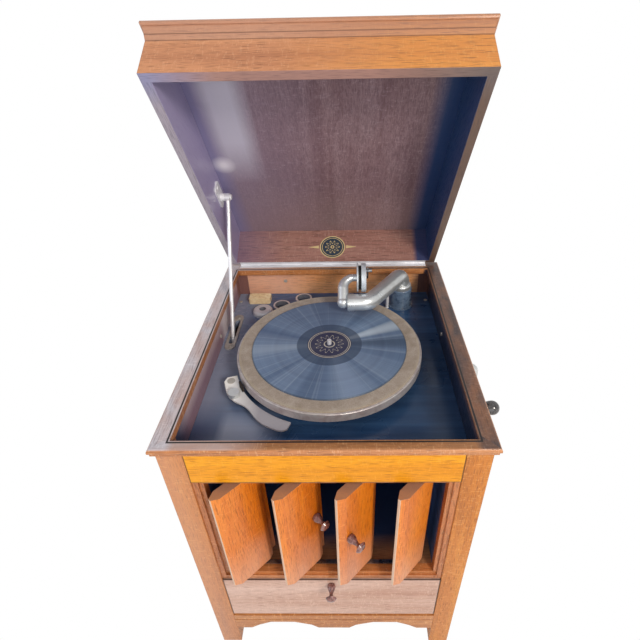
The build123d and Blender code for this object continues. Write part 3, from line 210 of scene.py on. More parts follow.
def inside(tree, place, low, high):
    """How far a place lies inside the nearer of two limits; outside them it is negative."""
    from_low = add(tree, "Math", {0: place, 1: low}, operation="SUBTRACT")
    from_high = add(tree, "Math", {0: high, 1: place}, operation="SUBTRACT")
    return add(tree, "Math", {0: from_low, 1: from_high}, operation="MINIMUM")


def facing_up(tree):
    """How far a face looks upwards, from -1 to 1."""
    return add(tree, "SeparateXYZ", {0: add(tree, "NewGeometry", gives="True Normal")}, gives=2)


def oak_figure(tree, vector, tones, pore, fleck, seed, flecks=1.0):
    """The colour of quarter-sawn oak, and where its pores lie."""
    tone = streaks(tree, vector, tone_wide, tone_long, 3.0, 0.4, seed)
    band = streaks(tree, vector, band_wide, band_long, 2.0, 0.3, seed + 3)
    shift = add(tree, "MapRange", {0: band, 3: -band_shift, 4: band_shift})
    figure = add(tree, "Math", {0: tone, 1: shift}, operation="ADD")
    colour = add(tree, "ValToRGB", {0: figure}, stops=list(zip((0.15, 0.5, 0.85), tones)))
    rays = streaks(tree, vector, fleck_wide, fleck_long, 1.5, 1.2, seed + 7)
    colour = stain(tree, colour, fleck, fleck_pale * flecks, (rays, 0.58, 0.66))
    pores = share(tree, (streaks(tree, vector, pore_wide, pore_long, 1.0, 0.0, seed + 11), 0.54, 0.68))
    return stain(tree, colour, pore, pore_dark, pores), pores


def surface(tree, takes):
    """Closes a material with its shader."""
    add(tree, "OutputMaterial", {"Surface": add(tree, "BsdfPrincipled", takes)})


def varnished(tree, colour, pores, rough=0.34, coat=0.15, coat_rough=0.12, ior=1.5):
    """Varnish over a board: a clear coat, open pores and edges rubbed round by hand."""
    edge = add(tree, "Bevel", {"Radius": edge_round * MM}, samples=4)
    height = add(tree, "Math", {0: pores, 1: -1.0}, operation="MULTIPLY")
    relief = add(tree, "Bump", {"Strength": 0.25, "Distance": pore_deep * MM, "Height": height, "Normal": edge})
    roughness = add(tree, "MapRange", {0: pores, 3: rough, 4: rough + 0.2})
    surface(tree, {"Base Color": colour, "Roughness": roughness, "IOR": ior, "Coat Weight": coat,
                   "Coat Roughness": coat_rough, "Normal": relief, "Coat Normal": edge})


def dress(node, finish):
    """Gives a node of the frame its material."""
    slots = nodes[node].data.materials
    slots.clear()
    slots.append(finish)


# The left posts carry a pale painted glare. The rear posts' upper ends show as the corners of the well, dull
# at the left and painted nearly black with shade at the right.
posts_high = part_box("posts")[1]
post_x = (posts_high.x - case_x) / MM - 1
post_y = (posts_high.y - case_y) / MM - 1
rear_post_y, well_floor_z = 300, 480
finish, tree = material("oak_posts_quarter_sawn_varnished")
colour, pores = oak_figure(tree, along_grain(tree, "z"), ("#96520f", "#bf7118", "#d48c30"), "#6a3410", "#e6a860", 1.0)
x, y, z = case_place(tree)
colour = stain(tree, colour, "#c09888", 0.35, (x, -150, -200))
well_corner_painted_shade = stain(tree, "#6a4c54", "#14243c", 1, (x, -10, 10))
colour = stain(tree, colour, well_corner_painted_shade, 0.8, (off_line(tree, x, 0), post_x, post_x - 0.4),
               (y, rear_post_y, rear_post_y + 5), (y, post_y, post_y - 0.4), (z, well_floor_z, well_floor_z + 5))
varnished(tree, colour, pores, 0.3)
dress("posts", finish)

# The rail and the flap are set in with a narrow joint, painted dark along their edges as shade in the gap.
seam_wide, seam_soft, seam_deep = 0.6, 1.0, 2.5
for node, name, tones, pore, fleck, seed, flecks, coat, ior in (
        ("top_rail", "oak_rail_golden_varnished", ("#c4740a", "#e0940c", "#f0ac1e"), "#8a4408", "#f6b04a",
         2.0, 0.5, 0.05, 1.35),
        ("flap", "oak_flap_varnished", ("#a8775e", "#c19c8a", "#d2b2a3"), "#7a5240", "#e8cbb8",
         31.0, 0.7, 0.15, 1.5)):
    finish, tree = material(name)
    colour, pores = oak_figure(tree, along_grain(tree, "x"), tones, pore, fleck, seed, flecks)
    x, y, z = case_place(tree)
    low, high = [(corner - at(0, 0, 0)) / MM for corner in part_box(node)]
    off_edge = add(tree, "Math", {0: inside(tree, x, low.x, high.x), 1: inside(tree, z, low.z, high.z)},
                   operation="MINIMUM")
    colour = stain(tree, colour, "#2c1810", 0.85, (off_edge, seam_wide + seam_soft, seam_wide),
                   (y, low.y + seam_deep, low.y + 1.0))
    varnished(tree, colour, pores, 0.3, coat, ior=ior)
    dress(node, finish)

# The side aprons run back from this far out, and their grain with them.
apron_side = 188
finish, tree = material("oak_apron_varnished")
x, y, z = case_place(tree)
at_side = share(tree, (off_line(tree, x, 0), apron_side, apron_side + 2))
colour, pores = oak_figure(tree, either_grain(tree, at_side, "x", "y"), ("#96562a", "#ba7840", "#d0945a"),
                           "#5a2c10", "#f2bd7c", 3.0)
varnished(tree, colour, pores, 0.3)
dress("aprons", finish)

# Each leaf's front edge is rubbed pale and its foot is hazy; its top is painted darker as shade.
leaf_pitch, leaf_pivot_y, leaf_turn, leaf_nose = 81.5, 14, radians(45), 37.9
haze_high, haze_low = 95, 15
for number in range(1, 5):
    finish, tree = material("oak_leaf_%d_quarter_sawn_varnished" % number)
    colour, pores = oak_figure(tree, along_grain(tree, "z"), ("#ae5208", "#d2700e", "#e4861e"), "#7a3408", "#ee9a48",
                               4.0 + 5 * number)
    x, y, z = case_place(tree)
    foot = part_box("leaf_%d" % number)[0].z / MM
    colour = stain(tree, colour, "#cea48c", 0.4, (z, foot + haze_high, foot + haze_low))
    off_x = add(tree, "Math", {0: x, 1: (number - 2.5) * leaf_pitch}, operation="SUBTRACT")
    off_y = add(tree, "Math", {0: y, 1: leaf_pivot_y}, operation="SUBTRACT")
    off_both = add(tree, "Math", {0: off_x, 1: off_y}, operation="ADD")
    across = add(tree, "Math", {0: off_both, 1: cos(leaf_turn)}, operation="MULTIPLY")
    colour = stain(tree, colour, "#d2bca4", 0.85, (across, 0.4 - leaf_nose, -leaf_nose))
    # Painted shade: faces that look upwards are darker.
    colour = stain(tree, colour, "#8a7060", 0.8, (facing_up(tree), 0.6, 0.8))
    varnished(tree, colour, pores)
    dress("leaf_%d" % number, finish)

# Turned knobs
# Dark hardwood, turned on a lathe, stained and polished to a high shine. The crank's grip
# is blackened and shines most.


def turned_wood(name, tones, rough):
    """Polished hardwood with its figure along the lathe's axis."""
    made, tree = material(name)
    tone = streaks(tree, along_grain(tree, "z"), 3, 30, 3.0, 0.5)
    colour = add(tree, "ValToRGB", {0: tone}, stops=list(zip((0.3, 0.5, 0.75), tones)))
    surface(tree, {"Base Color": colour, "Roughness": rough, "IOR": 1.5, "Coat Weight": 0.6, "Coat Roughness": 0.08})
    return made


knob_wood = turned_wood("mahogany_turned_polished", ("#54302c", "#764c46", "#9a706a"), 0.22)
for knob in ("leaf_knob_2", "leaf_knob_3", "flap_knob"):
    dress(knob, knob_wood)
dress("crank_grip", turned_wood("ebonised_grip_turned_polished", ("#2c2c2e", "#444446", "#626264"), 0.1))

# Rim of the well
# Four mitred oak strips round the top of the case. Their tops are painted pale grey at the left,
# and in a patch at the front left, as a reflection of the sky in the varnish; they are grey-brown
# in front and nearly black at the right, and a thin black line is let in near their inner edge.
rim_outer_x, rim_outer_y = 217, 476
rim_inner_x, rim_inner_front, rim_inner_back = 192, 16, 447
rim_top_from, rim_top_to = 558.6, 559.8
inlay_from, inlay_wide, inlay_soft = 1.4, 2.4, 0.4
inlay_to = inlay_from + inlay_wide
corner_in, corner_out = 185, 195
finish, tree = material("oak_rim_varnish_worn_and_painted_sheen")
x, y, z = case_place(tree)
on_side = add(tree, "Math", {0: inside(tree, x, -rim_outer_x, rim_outer_x), 1: inside(tree, y, 0, rim_outer_y)},
              operation="LESS_THAN")
vector = either_grain(tree, on_side, "x", "y")
colour, pores = oak_figure(tree, vector, ("#8c4f28", "#b87644", "#cc8e5c"), "#3c2012", "#dcae84", 61.0)
# The left tone is a painted reflection of the sky, and so is the pale patch laid on the front tone.
left_painted_sheen = oak_figure(tree, vector, ("#aaa2aa", "#c2bcc2", "#d4ced4"), "#786c74", "#dedade", 67.0)[0]
right_worn = oak_figure(tree, vector, ("#413434", "#4f4140", "#605251"), "#2a1c18", "#846e66", 69.0)[0]
front_tone_and_sheen = oak_figure(tree, vector, ("#7a4e2c", "#9c6a40", "#b78658"), "#3c2416", "#cba074", 71.0)[0]
front_tone_and_sheen = stain(tree, front_tone_and_sheen, "#bca8a6", 0.7, (x, -68, -125))
rim_top_tone_and_sheen = stain(tree, left_painted_sheen, front_tone_and_sheen, 1, (x, -corner_out, -corner_in))
rim_top_tone_and_sheen = stain(tree, rim_top_tone_and_sheen, right_worn, 1, (x, corner_in, corner_out))
on_top = share(tree, (z, rim_top_from, rim_top_to))
smudge = add(tree, "MapRange", {0: streaks(tree, vector, 30, 60, 3.0, 0.5, 5.0), 1: 0.3, 2: 0.6, 3: 0.6})
# The right strip's inner face is painted nearly black as shade, as the wall under it is.
colour = stain(tree, colour, "#2c3244", 0.9, (x, rim_inner_x - 8, rim_inner_x - 4),
               (x, rim_inner_x + 1.2, rim_inner_x + 0.8), (y, rim_inner_front - 1.0, rim_inner_front - 0.4),
               (z, rim_top_from - 0.1, rim_top_from - 2.1))
colour = stain(tree, colour, rim_top_tone_and_sheen, 1, on_top, smudge)
off_well = add(tree, "Math", {0: inside(tree, x, -rim_inner_x, rim_inner_x),
                              1: inside(tree, y, rim_inner_front, rim_inner_back)}, operation="MINIMUM")
colour = stain(tree, colour, "#1a1414", 1, (off_well, -inlay_from, -inlay_from - inlay_soft),
               (off_well, -inlay_to - inlay_soft, -inlay_to), on_top)
varnished(tree, colour, pores, 0.34, 0.25, 0.2)
dress("rim", finish)

# Frame round the horn's mouth
# Four oak strips, glued in with a step along their inner edge and varnished a plain
# brown; the grain stands upright in the sides and lies level in the head and the foot.
mouth_side = 163
finish, tree = material("oak_mouth_frame_varnished")
x, y, z = case_place(tree)
upright = share(tree, (off_line(tree, x, 0), mouth_side - 0.2, mouth_side + 0.2))
colour, pores = oak_figure(tree, either_grain(tree, upright, "x", "z"), ("#8a4a22", "#b46c38", "#c98550"),
                           "#4a2410", "#e2ac78", 71.0, 0.6)
varnished(tree, colour, pores)
dress("louvre_frame", finish)

# Panels and well walls
# The same oak outside. Inside the well the back board is still orange, with painted navy shade at its right end;
# the left wall is painted a grey-red that pales upwards, with a painted reflection and painted shade at its front,
# and the right wall is painted nearly black as shade.
wall_inner_x, well_side, well_back = 197.6, 196.5, 456.6
wall_low, wall_high = 515, 545
reflection_y, reflection_wide, reflection_core = 325, 34, 14
finish, tree = material("oak_panels_varnished")
x, y, z = case_place(tree)
in_well = share(tree, (off_line(tree, x, 0), wall_inner_x, wall_inner_x - 0.3), (y, well_back, well_back - 0.3))
outer, pores = oak_figure(tree, along_grain(tree, "z"), ("#8a4c24", "#b07038", "#c78a52"), "#4a2410", "#dca874", 81.0)
inner = oak_figure(tree, along_grain(tree, "x"), ("#c8804a", "#e8a670", "#f4bc8c"), "#7a4424", "#f8d0a8", 83.0, 0.4)[0]
inner = stain(tree, inner, "#dcb0a4", 0.5, (x, -30, -110))
# The back board's right end is painted navy as the shadow of the right wall.
inner = stain(tree, inner, "#14243c", 0.85, (x, 158, 186))
# The left wall is painted grey-red, paler upwards, with a pale painted reflection and painted navy shade at its front
# end.
left_wall_painted_light = stain(tree, "#90707c", "#ccb8bc", 1, (z, wall_low, wall_high))
left_wall_painted_light = stain(tree, left_wall_painted_light, "#e0dade", 0.7, (off_line(tree, y, reflection_y), reflection_wide, reflection_core))
left_wall_painted_light = stain(tree, left_wall_painted_light, "#2c3c5c", 0.9, (y, 90, 50))
# The right wall is painted nearly black as shade.
right_wall_painted_shade = stain(tree, "#1a2740", "#2c3144", 1, (z, wall_low, wall_high))
colour = stain(tree, outer, inner, 1, in_well)
colour = stain(tree, colour, left_wall_painted_light, 1, (x, -well_side, -well_side - 0.4), in_well)
colour = stain(tree, colour, right_wall_painted_shade, 1, (x, well_side, well_side + 0.4), in_well)
varnished(tree, colour, pores)
dress("case_panels", finish)

# Floors and horn
# The floor of the horn's mouth is plain softwood, nailed in, and painted darker inwards as shade.
# The horn's boards have brushed blue-black paint, which hides the inside from view. The
# cleats under the motor board are bare.
shade_from, shade_to = 44, 74
finish, tree = material("softwood_floor_painted_shade_inwards")
x, y, z = case_place(tree)
colour, pores = oak_figure(tree, along_grain(tree, "x"), ("#8a5632", "#ae7a52", "#c4946c"), "#5a3420", "#c09a78",
                           91.0, 0.3)
# Painted shade, navy further into the horn.
colour = stain(tree, colour, "#24365a", 1, (y, shade_from, shade_to))
varnished(tree, colour, pores, 0.45, 0.1, 0.3)
dress("shelves", finish)
finish, tree = material("horn_board_black_paint_brushed")
brushed = streaks(tree, along_grain(tree, "y"), 12, 120, 3.0, 0.4)
colour = add(tree, "ValToRGB", {0: brushed}, stops=[(0.3, "#233a62"), (0.6, "#34507e"), (0.8, "#446494")])
surface(tree, {"Base Color": colour, "Roughness": 0.5, "IOR": 1.5})
for node in ("horn_top", "horn_sides", "horn_throat"):
    dress(node, finish)
finish, tree = material("softwood_cleats_plain")
colour, pores = oak_figure(tree, along_grain(tree, "y"), ("#6a4626", "#86603a", "#9c7850"), "#5a2c10", "#f2bd7c",
                           95.0, 0.1)
varnished(tree, colour, pores, 0.6)
dress("board_cleats", finish)

# Motor board
# A softwood board stained blue-black and polished; years of dust and fingers have
# clouded the polish in broad patches, and a pale glare is painted at the left and near the front left.
finish, tree = material("motor_board_black_stain_polished")
vector = along_grain(tree, "x")
tone = streaks(tree, vector, 9, 160, 3.0, 0.3)
cloud = streaks(tree, vector, 60, 80, 4.0, 0.6, 9.0)
colour = add(tree, "ValToRGB", {0: tone}, stops=[(0.3, "#28436a"), (0.55, "#35547c"), (0.8, "#436690")])
colour = stain(tree, colour, "#5c6a80", 0.25, (cloud, 0.5, 0.75))
x, y, z = case_place(tree)
near_front = share(tree, (y, 150, 90))
# A pale glare, painted at the left and near the front left.
painted_glare = add(tree, "Math", {0: share(tree, (x, -120, -185)), 1: share(tree, near_front, (x, -60, -105))},
           operation="MAXIMUM")
colour = stain(tree, colour, "#9aa0b4", 0.75, painted_glare)
# The front left corner, and the right part towards the front, are painted dark as shade.
colour = stain(tree, colour, "#34466a", 0.85, near_front, (x, -148, -162))
colour = stain(tree, colour, "#16304e", 0.55, (x, 0, 110), (y, 340, 240))
rough = add(tree, "MapRange", {0: cloud, 1: 0.3, 2: 0.7, 3: 0.22, 4: 0.42})
raised_grain = streaks(tree, vector, 1.2, 22, 2.0, 0.0, 2.0)
relief = add(tree, "Bump", {"Strength": 0.12, "Distance": 0.1 * MM, "Height": raised_grain})
surface(tree, {"Base Color": colour, "Roughness": rough, "IOR": 1.5, "Coat Weight": 0.2, "Coat Roughness": 0.2,
               "Normal": relief})
dress("motor_board", finish)

# Lid
# Four oak walls and a moulded top board, golden-brown and varnished outside, and stained
# a dark purplish brown inside, with painted reflections at the left, painted shade at the right
# and a small gilt plate at the back. The grain runs along each board as it does with the lid shut.
lid_open = radians(57.4)
hinge = at(0, 467.3, 562.4)
closed = (tuple(hinge - Matrix.Rotation(lid_open, 3, "X") @ hinge), (lid_open, 0, 0))
lid_inner_x, lid_inner_front, lid_inner_back = 196.2, 22.4, 457.5
lid_ceiling, lid_foot, lid_side = 636.6, 562.0, 195.6
moulding_from, moulding_lines = 616, (616.8, 625.5)
reflection_spot = (-178, 252)
plate_x, plate_z, plate_r = 0, 596, 25
wing_gap, wing_long, wing_taper = 3, 24, 0.16


def round_point(tree, across, up, point):
    """Distance from a point, and the angle round it."""
    off_across = add(tree, "Math", {0: across, 1: point[0]}, operation="SUBTRACT")
    off_up = add(tree, "Math", {0: up, 1: point[1]}, operation="SUBTRACT")
    square = add(tree, "Math", {0: off_up, 1: off_up}, operation="MULTIPLY")
    squares = add(tree, "Math", {0: off_across, 1: off_across, 2: square}, operation="MULTIPLY_ADD")
    reach = add(tree, "Math", {0: squares}, operation="SQRT")
    return reach, add(tree, "Math", {0: off_up, 1: off_across}, operation="ARCTAN2")


def gilt_rings(tree, reach, angle, rings, petals, soft):
    """Thin gilt rings, and one that swings in and out as a ring of petals."""
    count, petal_r, swing, petal_line = petals
    turned = add(tree, "Math", {0: angle, 1: count}, operation="MULTIPLY")
    wave = add(tree, "Math", {0: turned}, operation="COSINE")
    edge = add(tree, "Math", {0: wave, 1: swing, 2: petal_r}, operation="MULTIPLY_ADD")
    gilt = share(tree, (off_line(tree, reach, edge), petal_line + soft, petal_line))
    for ring, wide in rings:
        drawn = share(tree, (off_line(tree, reach, ring), wide + soft, wide))
        gilt = add(tree, "Math", {0: gilt, 1: drawn}, operation="MAXIMUM")
    return gilt


for node in ("lid_walls", "lid_top"):
    finish, tree = material("oak_%s_varnished_and_stained" % node)
    x, y, z = case_place(tree, closed)
    off_middle = off_line(tree, x, 0)
    if node == "lid_walls":
        at_side = share(tree, (off_middle, lid_side - 0.1, lid_side + 0.5),
                        (y, lid_inner_front - 0.4, lid_inner_front + 0.2))
        vector = either_grain(tree, at_side, "x", "y", closed)
        below_top = (z, lid_ceiling + 2.4, lid_ceiling + 2)
    else:
        vector = along_grain(tree, "x", closed)
        below_top = (z, lid_ceiling + 0.5, lid_ceiling + 0.2)
    in_lid = share(tree, (off_middle, lid_inner_x + 0.4, lid_inner_x), (y, lid_inner_front, lid_inner_front + 0.4),
                   (y, lid_inner_back, lid_inner_back - 0.4), below_top)
    outer, pores = oak_figure(tree, vector, ("#a86a44", "#c4855a", "#cf9468"), "#5c3418", "#dca880", 101.0, 0.6)
    golden = oak_figure(tree, vector, ("#b0682a", "#cc8238", "#d8933e"), "#4c2a10", "#e0a860", 103.0, 0.6)[0]
    outer = stain(tree, outer, golden, 1, (x, -60, 110))
    outer = stain(tree, outer, "#a27e70", 0.5, (z, moulding_from, moulding_from + 2))
    # Painted shade along the moulding's two creases.
    for line in moulding_lines:
        outer = stain(tree, outer, "#5c3c2c", 0.65, (off_line(tree, z, line), 1.2, 0.4))
    upward = along_grain(tree, "y", closed)
    inner = oak_figure(tree, upward, ("#6c5054", "#84686c", "#9a8084"), "#4c3238", "#b49ea4", 105.0, 0.8)[0]
    inner = stain(tree, inner, "#63454a", 0.55, (streaks(tree, upward, 2.4, 11, 2.0, 1.5, 5.0), 0.42, 0.62))
    # The stain is painted bluer and paler towards the left, with a painted reflection as a pale bloom and a
    # bright spot on it, browner towards the hinge, and painted nearly navy at the right as the right wall's shadow.
    inner = stain(tree, inner, "#8e8098", 0.6, (x, 0, -180))
    inner = stain(tree, inner, "#a8908e", 0.3, (y, 300, 440))
    inner = stain(tree, inner, "#8482ac", 0.7, (x, -164, -190))
    inner = stain(tree, inner, "#c0bccc", 0.85, (x, -188, -164), (x, -106, -134), (y, 300, 200))
    inner = stain(tree, inner, "#e6e0e6", 0.9, (round_point(tree, x, y, reflection_spot)[0], 22, 4))
    inner = stain(tree, inner, "#163a68", 0.94, (x, 153, 179))
    if node == "lid_walls":
        back_wall = oak_figure(tree, vector, ("#7c5048", "#9c7064", "#b0887c"), "#3c2420", "#c09c90", 107.0, 0.8)[0]
        # The back wall's right end is painted navy as shadow, and its left bluer as painted reflection.
        back_wall = stain(tree, back_wall, "#163460", 0.9, (x, 164, 174))
        back_wall = stain(tree, back_wall, "#6a6084", 0.5, (x, -100, -190))
        at_back = share(tree, (y, 440, 444))
        inner = stain(tree, inner, back_wall, 1, at_back)
        # The left wall is painted pale violet as reflection, the right wall navy as shade.
        inner = stain(tree, inner, "#9c92b6", 1, (x, -lid_side, -lid_side - 0.4))
        inner = stain(tree, inner, "#1e3a66", 1, (x, lid_side, lid_side + 0.4))

        # The plate has plain rings and petals, and a pointed wing at each side.
        reach, angle = round_point(tree, x, z, (plate_x, plate_z))
        gilt = gilt_rings(tree, reach, angle, ((plate_r, 0.8), (plate_r - 4, 0.3), (3, 0.8)), (10, 11, 3.5, 0.7), 0.4)
        sideways = off_line(tree, x, plate_x)
        to_tip = add(tree, "Math", {0: plate_r + wing_long + 1, 1: sideways}, operation="SUBTRACT")
        half_high = add(tree, "Math", {0: to_tip, 1: wing_taper}, operation="MULTIPLY")
        in_wing = add(tree, "Math", {0: off_line(tree, z, plate_z), 1: half_high}, operation="LESS_THAN")
        wing = share(tree, (sideways, plate_r + wing_gap, plate_r + wing_gap + 0.5),
                     (sideways, plate_r + wing_long + 0.5, plate_r + wing_long), in_wing)
        gilt = add(tree, "Math", {0: gilt, 1: wing}, operation="MAXIMUM")
        inner = stain(tree, inner, "#2c3a48", 1, (reach, plate_r + 0.4, plate_r), at_back)
        inner = stain(tree, inner, "#d2bc88", 1, gilt, at_back)

        # The walls' lower edges are worn to grey, violet at the left.
        at_foot = share(tree, (z, lid_foot + 0.2, lid_foot - 0.2))
        left_edge = stain(tree, "#8489ae", "#9894a4", 1, (y, 24, 60))
        right_edge = stain(tree, "#5a5658", "#54453f", 1, (y, 24, 60))
        edge_tone = stain(tree, left_edge, "#a07c74", 1, (x, -200, -120))
        edge_tone = stain(tree, edge_tone, right_edge, 1, (x, 60, 195))
        outer = stain(tree, outer, edge_tone, 0.92, at_foot)
        outer = stain(tree, outer, "#4c383a", 0.4, at_foot, pores)
    varnished(tree, stain(tree, outer, inner, 1, in_lid), pores, 0.32, 0.3, 0.16)
    dress(node, finish)

# Plated metal
# Nickel plate on brass and steel, in several states: still bright on the tubes and the
# crank, dulled or hazy in patches elsewhere, and painted white as a highlight on the brake lever.

# Real scratches are finer than a picture shows; they are drawn 0.9 mm wide.
scratch_wide, scratch_long, scratch_deep, scratch_relief = 0.9, 9, 0.05, 0.045


def plated(name, bright, dull, rough, spot, spread=0.5, *, metal, seed=0.0, scratched=True, soften=0.4):
    """Old nickel plate: bright metal, with duller patches of a given size in millimetres."""
    made, tree = material(name)
    vector = along_grain(tree, "z")
    patch = share(tree, (streaks(tree, vector, spot, spot, 4.0, 0.7, seed), spread - 0.2, spread + 0.25))
    fine = streaks(tree, vector, scratch_wide, scratch_long, 2.0, 0.2, seed + 2)
    patch_rough = add(tree, "MapRange", {0: patch, 3: rough, 4: rough + 0.1})
    fine_rough = add(tree, "MapRange", {0: fine, 1: 0.3, 2: 0.7, 3: -0.02, 4: 0.03})
    relief = {"Height": fine, "Strength": scratch_relief if scratched else 0.0, "Distance": scratch_deep * MM}
    if soften:
        relief["Normal"] = add(tree, "Bevel", {"Radius": soften * MM}, samples=4)
    surface(tree, {"Base Color": stain(tree, bright, dull, 1, patch), "Metallic": metal,
                   "Roughness": add(tree, "Math", {0: patch_rough, 1: fine_rough}, operation="ADD"),
                   "Normal": add(tree, "Bump", relief)})
    return made


def lay_over_plate(finish, tone, strength, *fades):
    """Lays another tone over a plated finish."""
    tree = finish.node_tree
    plate = next(item for item in tree.nodes if item.type == "BSDF_PRINCIPLED").inputs["Base Color"]
    tree.links.new(stain(tree, plate.links[0].from_socket, tone, strength, *fades), plate)


rod_nickel = plated("nickel_rod_polished", "#ececf0", "#d8d8dc", 0.3, 40.0, seed=12.0, metal=0.45, scratched=False)
for node in ("stay_rod", "spindle", "hinge_base", "hinge_lid"):
    dress(node, rod_nickel)
dress("sound_shell", plated("nickel_soundbox_satin", "#d4dce4", "#b2b8be", 0.36, 12.0, seed=9.0, metal=0.35,
                            scratched=False, soften=0.0))
bright_nickel = plated("nickel_plate_worn", "#e0e4e6", "#c8c8c6", 0.27, 30.0, 0.56, metal=0.72, scratched=False,
                       soften=0.0)
for node in ("tonearm", "gooseneck", "speed_knob", "crank"):
    dress(node, bright_nickel)
dull_nickel = plated("nickel_plate_dull", "#d2d0ca", "#b4ada2", 0.36, 18.0, seed=4.0, metal=0.55)
for node in ("stay_plate", "screws"):
    dress(node, dull_nickel)
pale_nickel = plated("nickel_plate_hazy", "#f2f2f4", "#dcdce2", 0.4, 18.0, seed=8.0, metal=0.25)
for node in ("stay_bracket", "arm_post", "escutcheon"):
    dress(node, pale_nickel)

# The lever is painted near white as a highlight on its plate, fading to grey at its far end.
lever_nickel = plated("nickel_lever_painted_highlight", "#ffffff", "#f4f1ea", 0.45, 18.0, seed=16.0, metal=0.0)
x, y, z = case_place(lever_nickel.node_tree)
lay_over_plate(lever_nickel, "#96929a", 0.95, (x, -158, -100))
dress("brake_lever", lever_nickel)

# The needle cups are painted dark inside, as shade in their bores.
for node, bore, cups in (("needle_cups", 13.9, ((-104, 411), (-61, 436))), ("used_needle_cup", 6.9, ((-138, 384),))):
    finish = plated("nickel_%s_tarnished_inside" % node, "#dcdce2", "#c4c2c8", 0.36, 18.0, seed=6.0, metal=0.35)
    x, y, z = case_place(finish.node_tree)
    for cup in cups:
        lay_over_plate(finish, "#30384f", 0.9, (round_point(finish.node_tree, x, y, cup)[0], bore, bore - 0.6))
    dress(node, finish)

# Turntable
# A pressed and plated disc covered with glued wool felt, faded to a dusty grey-brown and
# paler along its edge. The fibres are drawn 0.9 mm thick so that they show.
spindle, felt_edge, fibre_thick = (0, 231), 148, 0.9
dress("platter", plated("nickel_platter_stained", "#d0cccb", "#a8999a", 0.34, 16.0, seed=14.0, metal=0.5))
finish, tree = material("felt_worn_olive_brown")
x, y, z = case_place(tree)
reach, angle = round_point(tree, x, y, spindle)
vector = along_grain(tree, "z")
patch = streaks(tree, vector, 22, 22, 4.0, 0.8, 3.0)
fibre = streaks(tree, vector, fibre_thick, fibre_thick, 3.0, 0.5, 1.0)
colour = add(tree, "ValToRGB", {0: patch}, stops=[(0.25, "#8e7f70"), (0.5, "#a29488"), (0.75, "#b4a89c")])
colour = stain(tree, colour, "#6e5f4c", 0.6, (fibre, 0.35, 0.7))
colour = stain(tree, colour, "#b0a28c", 0.5, (reach, felt_edge - 5, felt_edge))
relief = add(tree, "Bump", {"Strength": 0.6, "Distance": 0.4 * MM, "Height": fibre})
surface(tree, {"Base Color": colour, "Roughness": 0.95, "Sheen Weight": 0.25, "Sheen Roughness": 0.5, "Normal": relief})
dress("felt", finish)

# Record
# Pressed shellac with fine grooves, drawn about six times wider than they are so that
# they show. Pale and dark fans at set angles, broad streaks and fine radial lines round the disc
# are painted reflections. The run-out is smooth, and a dark paper label with plain gilt rings and a ring of petals is
# pressed into the middle.
label_r, groove_in, groove_out, groove_pitch, disc_edge = 36.6, 55, 124, 1.6, 126.5
label_rings = ((34.6, 0.45), (31.8, 0.25), (8.5, 0.7))
label_petals = (14, 19, 4.2, 0.45)
painted_reflection_fans = ((24, 8, 0.75, "#c2d0dc"), (187, 9, 0.45, "#b0c0d0"), (-70, 12, 0.4, "#a8bcd8"),
             (2, 10, 0.55, "#3a4a5e"), (166, 10, 0.4, "#4a5c7c"))
finish, tree = material("shellac_pressed_grooved")
x, y, z = case_place(tree)
reach, angle = round_point(tree, x, y, spindle)
grooved = share(tree, (reach, groove_in, groove_in + 1), (reach, groove_out + 1, groove_out))
turned = add(tree, "Math", {0: reach, 1: 2 * pi / groove_pitch}, operation="MULTIPLY")
grooves = add(tree, "Math", {0: turned}, operation="SINE")
from_middle = add(tree, "CombineXYZ", {0: reach})
bands = add(tree, "TexNoise", {"Vector": from_middle, "Scale": 0.12, "Detail": 3.0})
disc = add(tree, "ValToRGB", {0: bands}, stops=[(0.3, "#647896"), (0.5, "#6c82a0"), (0.7, "#748caa")])
circle = add(tree, "CombineXYZ", {0: add(tree, "Math", {0: angle}, operation="COSINE"),
                                  1: add(tree, "Math", {0: angle}, operation="SINE")})
painted_sheen_streaks = add(tree, "TexNoise", {"Vector": circle, "Scale": 2.2, "Detail": 2.0})
painted_sheen_hair_lines = add(tree, "TexNoise", {"Vector": circle, "Scale": 26.0, "Detail": 2.0})
# Painted reflections: streaks round the disc.
disc = stain(tree, disc, "#a8bace", 0.3, (painted_sheen_streaks, 0.45, 0.66))
disc = stain(tree, disc, "#3c4e68", 0.3, (painted_sheen_streaks, 0.5, 0.34))
# Painted reflections: pale and dark fans at set angles.
for toward, wide, strength, tone in painted_reflection_fans:
    off_fan = add(tree, "Math", {0: angle, 1: radians(toward)}, operation="SUBTRACT")
    near_fan = add(tree, "Math", {0: off_fan}, operation="COSINE")
    disc = stain(tree, disc, tone, strength, (near_fan, cos(radians(wide)), 1))
disc = stain(tree, disc, "#b4c4d4", 0.4, (painted_sheen_hair_lines, 0.55, 0.75))
disc = stain(tree, disc, "#2c3a50", 0.75, (reach, groove_in, groove_in - 2))
disc = stain(tree, disc, "#141c28", 0.6, (reach, groove_out, disc_edge))
on_label = share(tree, (reach, label_r, label_r - 0.3))
paper = stain(tree, "#34364e", "#c8c0b0", 0.8, gilt_rings(tree, reach, angle, label_rings, label_petals, 0.35))
colour = stain(tree, disc, paper, 1, on_label)
rough = add(tree, "MapRange", {0: on_label, 3: 0.3, 4: 0.55})
off_label = add(tree, "Math", {0: 1, 1: on_label}, operation="SUBTRACT")
relief = add(tree, "Bump", {"Strength": 0.18, "Distance": 0.1 * MM, "Height": share(tree, grooves, grooved, off_label)})
surface(tree, {"Base Color": colour, "Metallic": add(tree, "Math", {0: grooved, 1: 0.3}, operation="MULTIPLY"),
               "Roughness": rough, "Anisotropic": 0.85, "Normal": relief,
               "Tangent": add(tree, "Tangent", direction_type="RADIAL", axis="Z")})
dress("record", finish)
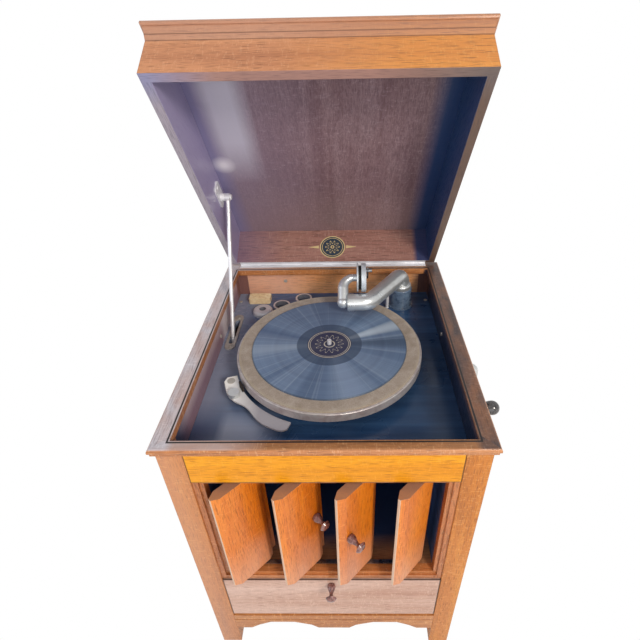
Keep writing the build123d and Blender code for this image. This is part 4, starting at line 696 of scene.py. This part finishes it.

# Soundbox, arm base and small pieces
# The arm's base is stoved black enamel, painted a lighter blue-grey as a spread of its highlights. A glassy, brownish
# disc of split mica is held in a moulded rubber gasket, which is dull, as the cut leather
# of the brake pad is. The motor is turned steel, with brass where wheels run fast.


def plain(name, tones, rough, metal=0.0, coat=0.0, spot=8.0):
    """A finish with a slight drift of tone, from the darkest to the lightest colour."""
    made, tree = material(name)
    tone = streaks(tree, along_grain(tree, "z"), spot, spot, 3.0, 0.4)
    colour = add(tree, "ValToRGB", {0: tone}, stops=list(zip((0.32, 0.5, 0.7), tones)))
    roughness = add(tree, "MapRange", {0: tone, 1: 0.3, 2: 0.7, 3: rough - 0.05, 4: rough + 0.08})
    surface(tree, {"Base Color": colour, "Roughness": roughness, "Metallic": metal, "Coat Weight": coat,
                   "Coat Roughness": 0.1})
    return made


# Painted highlight: the black enamel is lifted to blue-grey.
dress("arm_cup", plain("black_enamel_stoved", ("#4c5c72", "#5c6e86", "#6e8298"), 0.28, coat=0.4))
dress("sound_gasket", plain("rubber_gasket_moulded", ("#0e0e0e", "#191818", "#242222"), 0.7))
dress("sound_mica", plain("mica_split_sheet", ("#6e6656", "#8c836e", "#a89e86"), 0.25, coat=0.4))
dress("brake_pad", plain("leather_pad_cut", ("#14100e", "#221a16", "#30261f"), 0.8, spot=2.0))
steel = plain("steel_turned", ("#6a6c70", "#8a8c90", "#a4a6aa"), 0.32, metal=1.0)
for node in ("barrel", "barrel_arbor", "motor_plates", "motor_pillars", "motor_bolts", "winding_shaft", "pivot_pins",
             "leaf_link", "stylus"):
    dress(node, steel)
brass = plain("brass_machined", ("#7c6430", "#a08444", "#b89a58"), 0.3, metal=1.0)
for node in ("middle_shaft", "governor"):
    dress(node, brass)

# Cream block
# A small moulded celluloid block with bevelled ends, cream and softly shining on top,
# with its sides a warmer tan.
finish, tree = material("celluloid_block_moulded")
tone = streaks(tree, along_grain(tree, "z"), 6, 6, 3.0, 0.4)
colour = add(tree, "ValToRGB", {0: tone}, stops=[(0.3, "#d8bc90"), (0.5, "#ecd8ac"), (0.7, "#f4e6c4")])
colour = stain(tree, colour, "#e0bc92", 0.45, (facing_up(tree), 0.7, 0.3))
surface(tree, {"Base Color": colour, "Roughness": 0.4, "IOR": 1.5, "Coat Weight": 0.2})
dress("cream_block", finish)
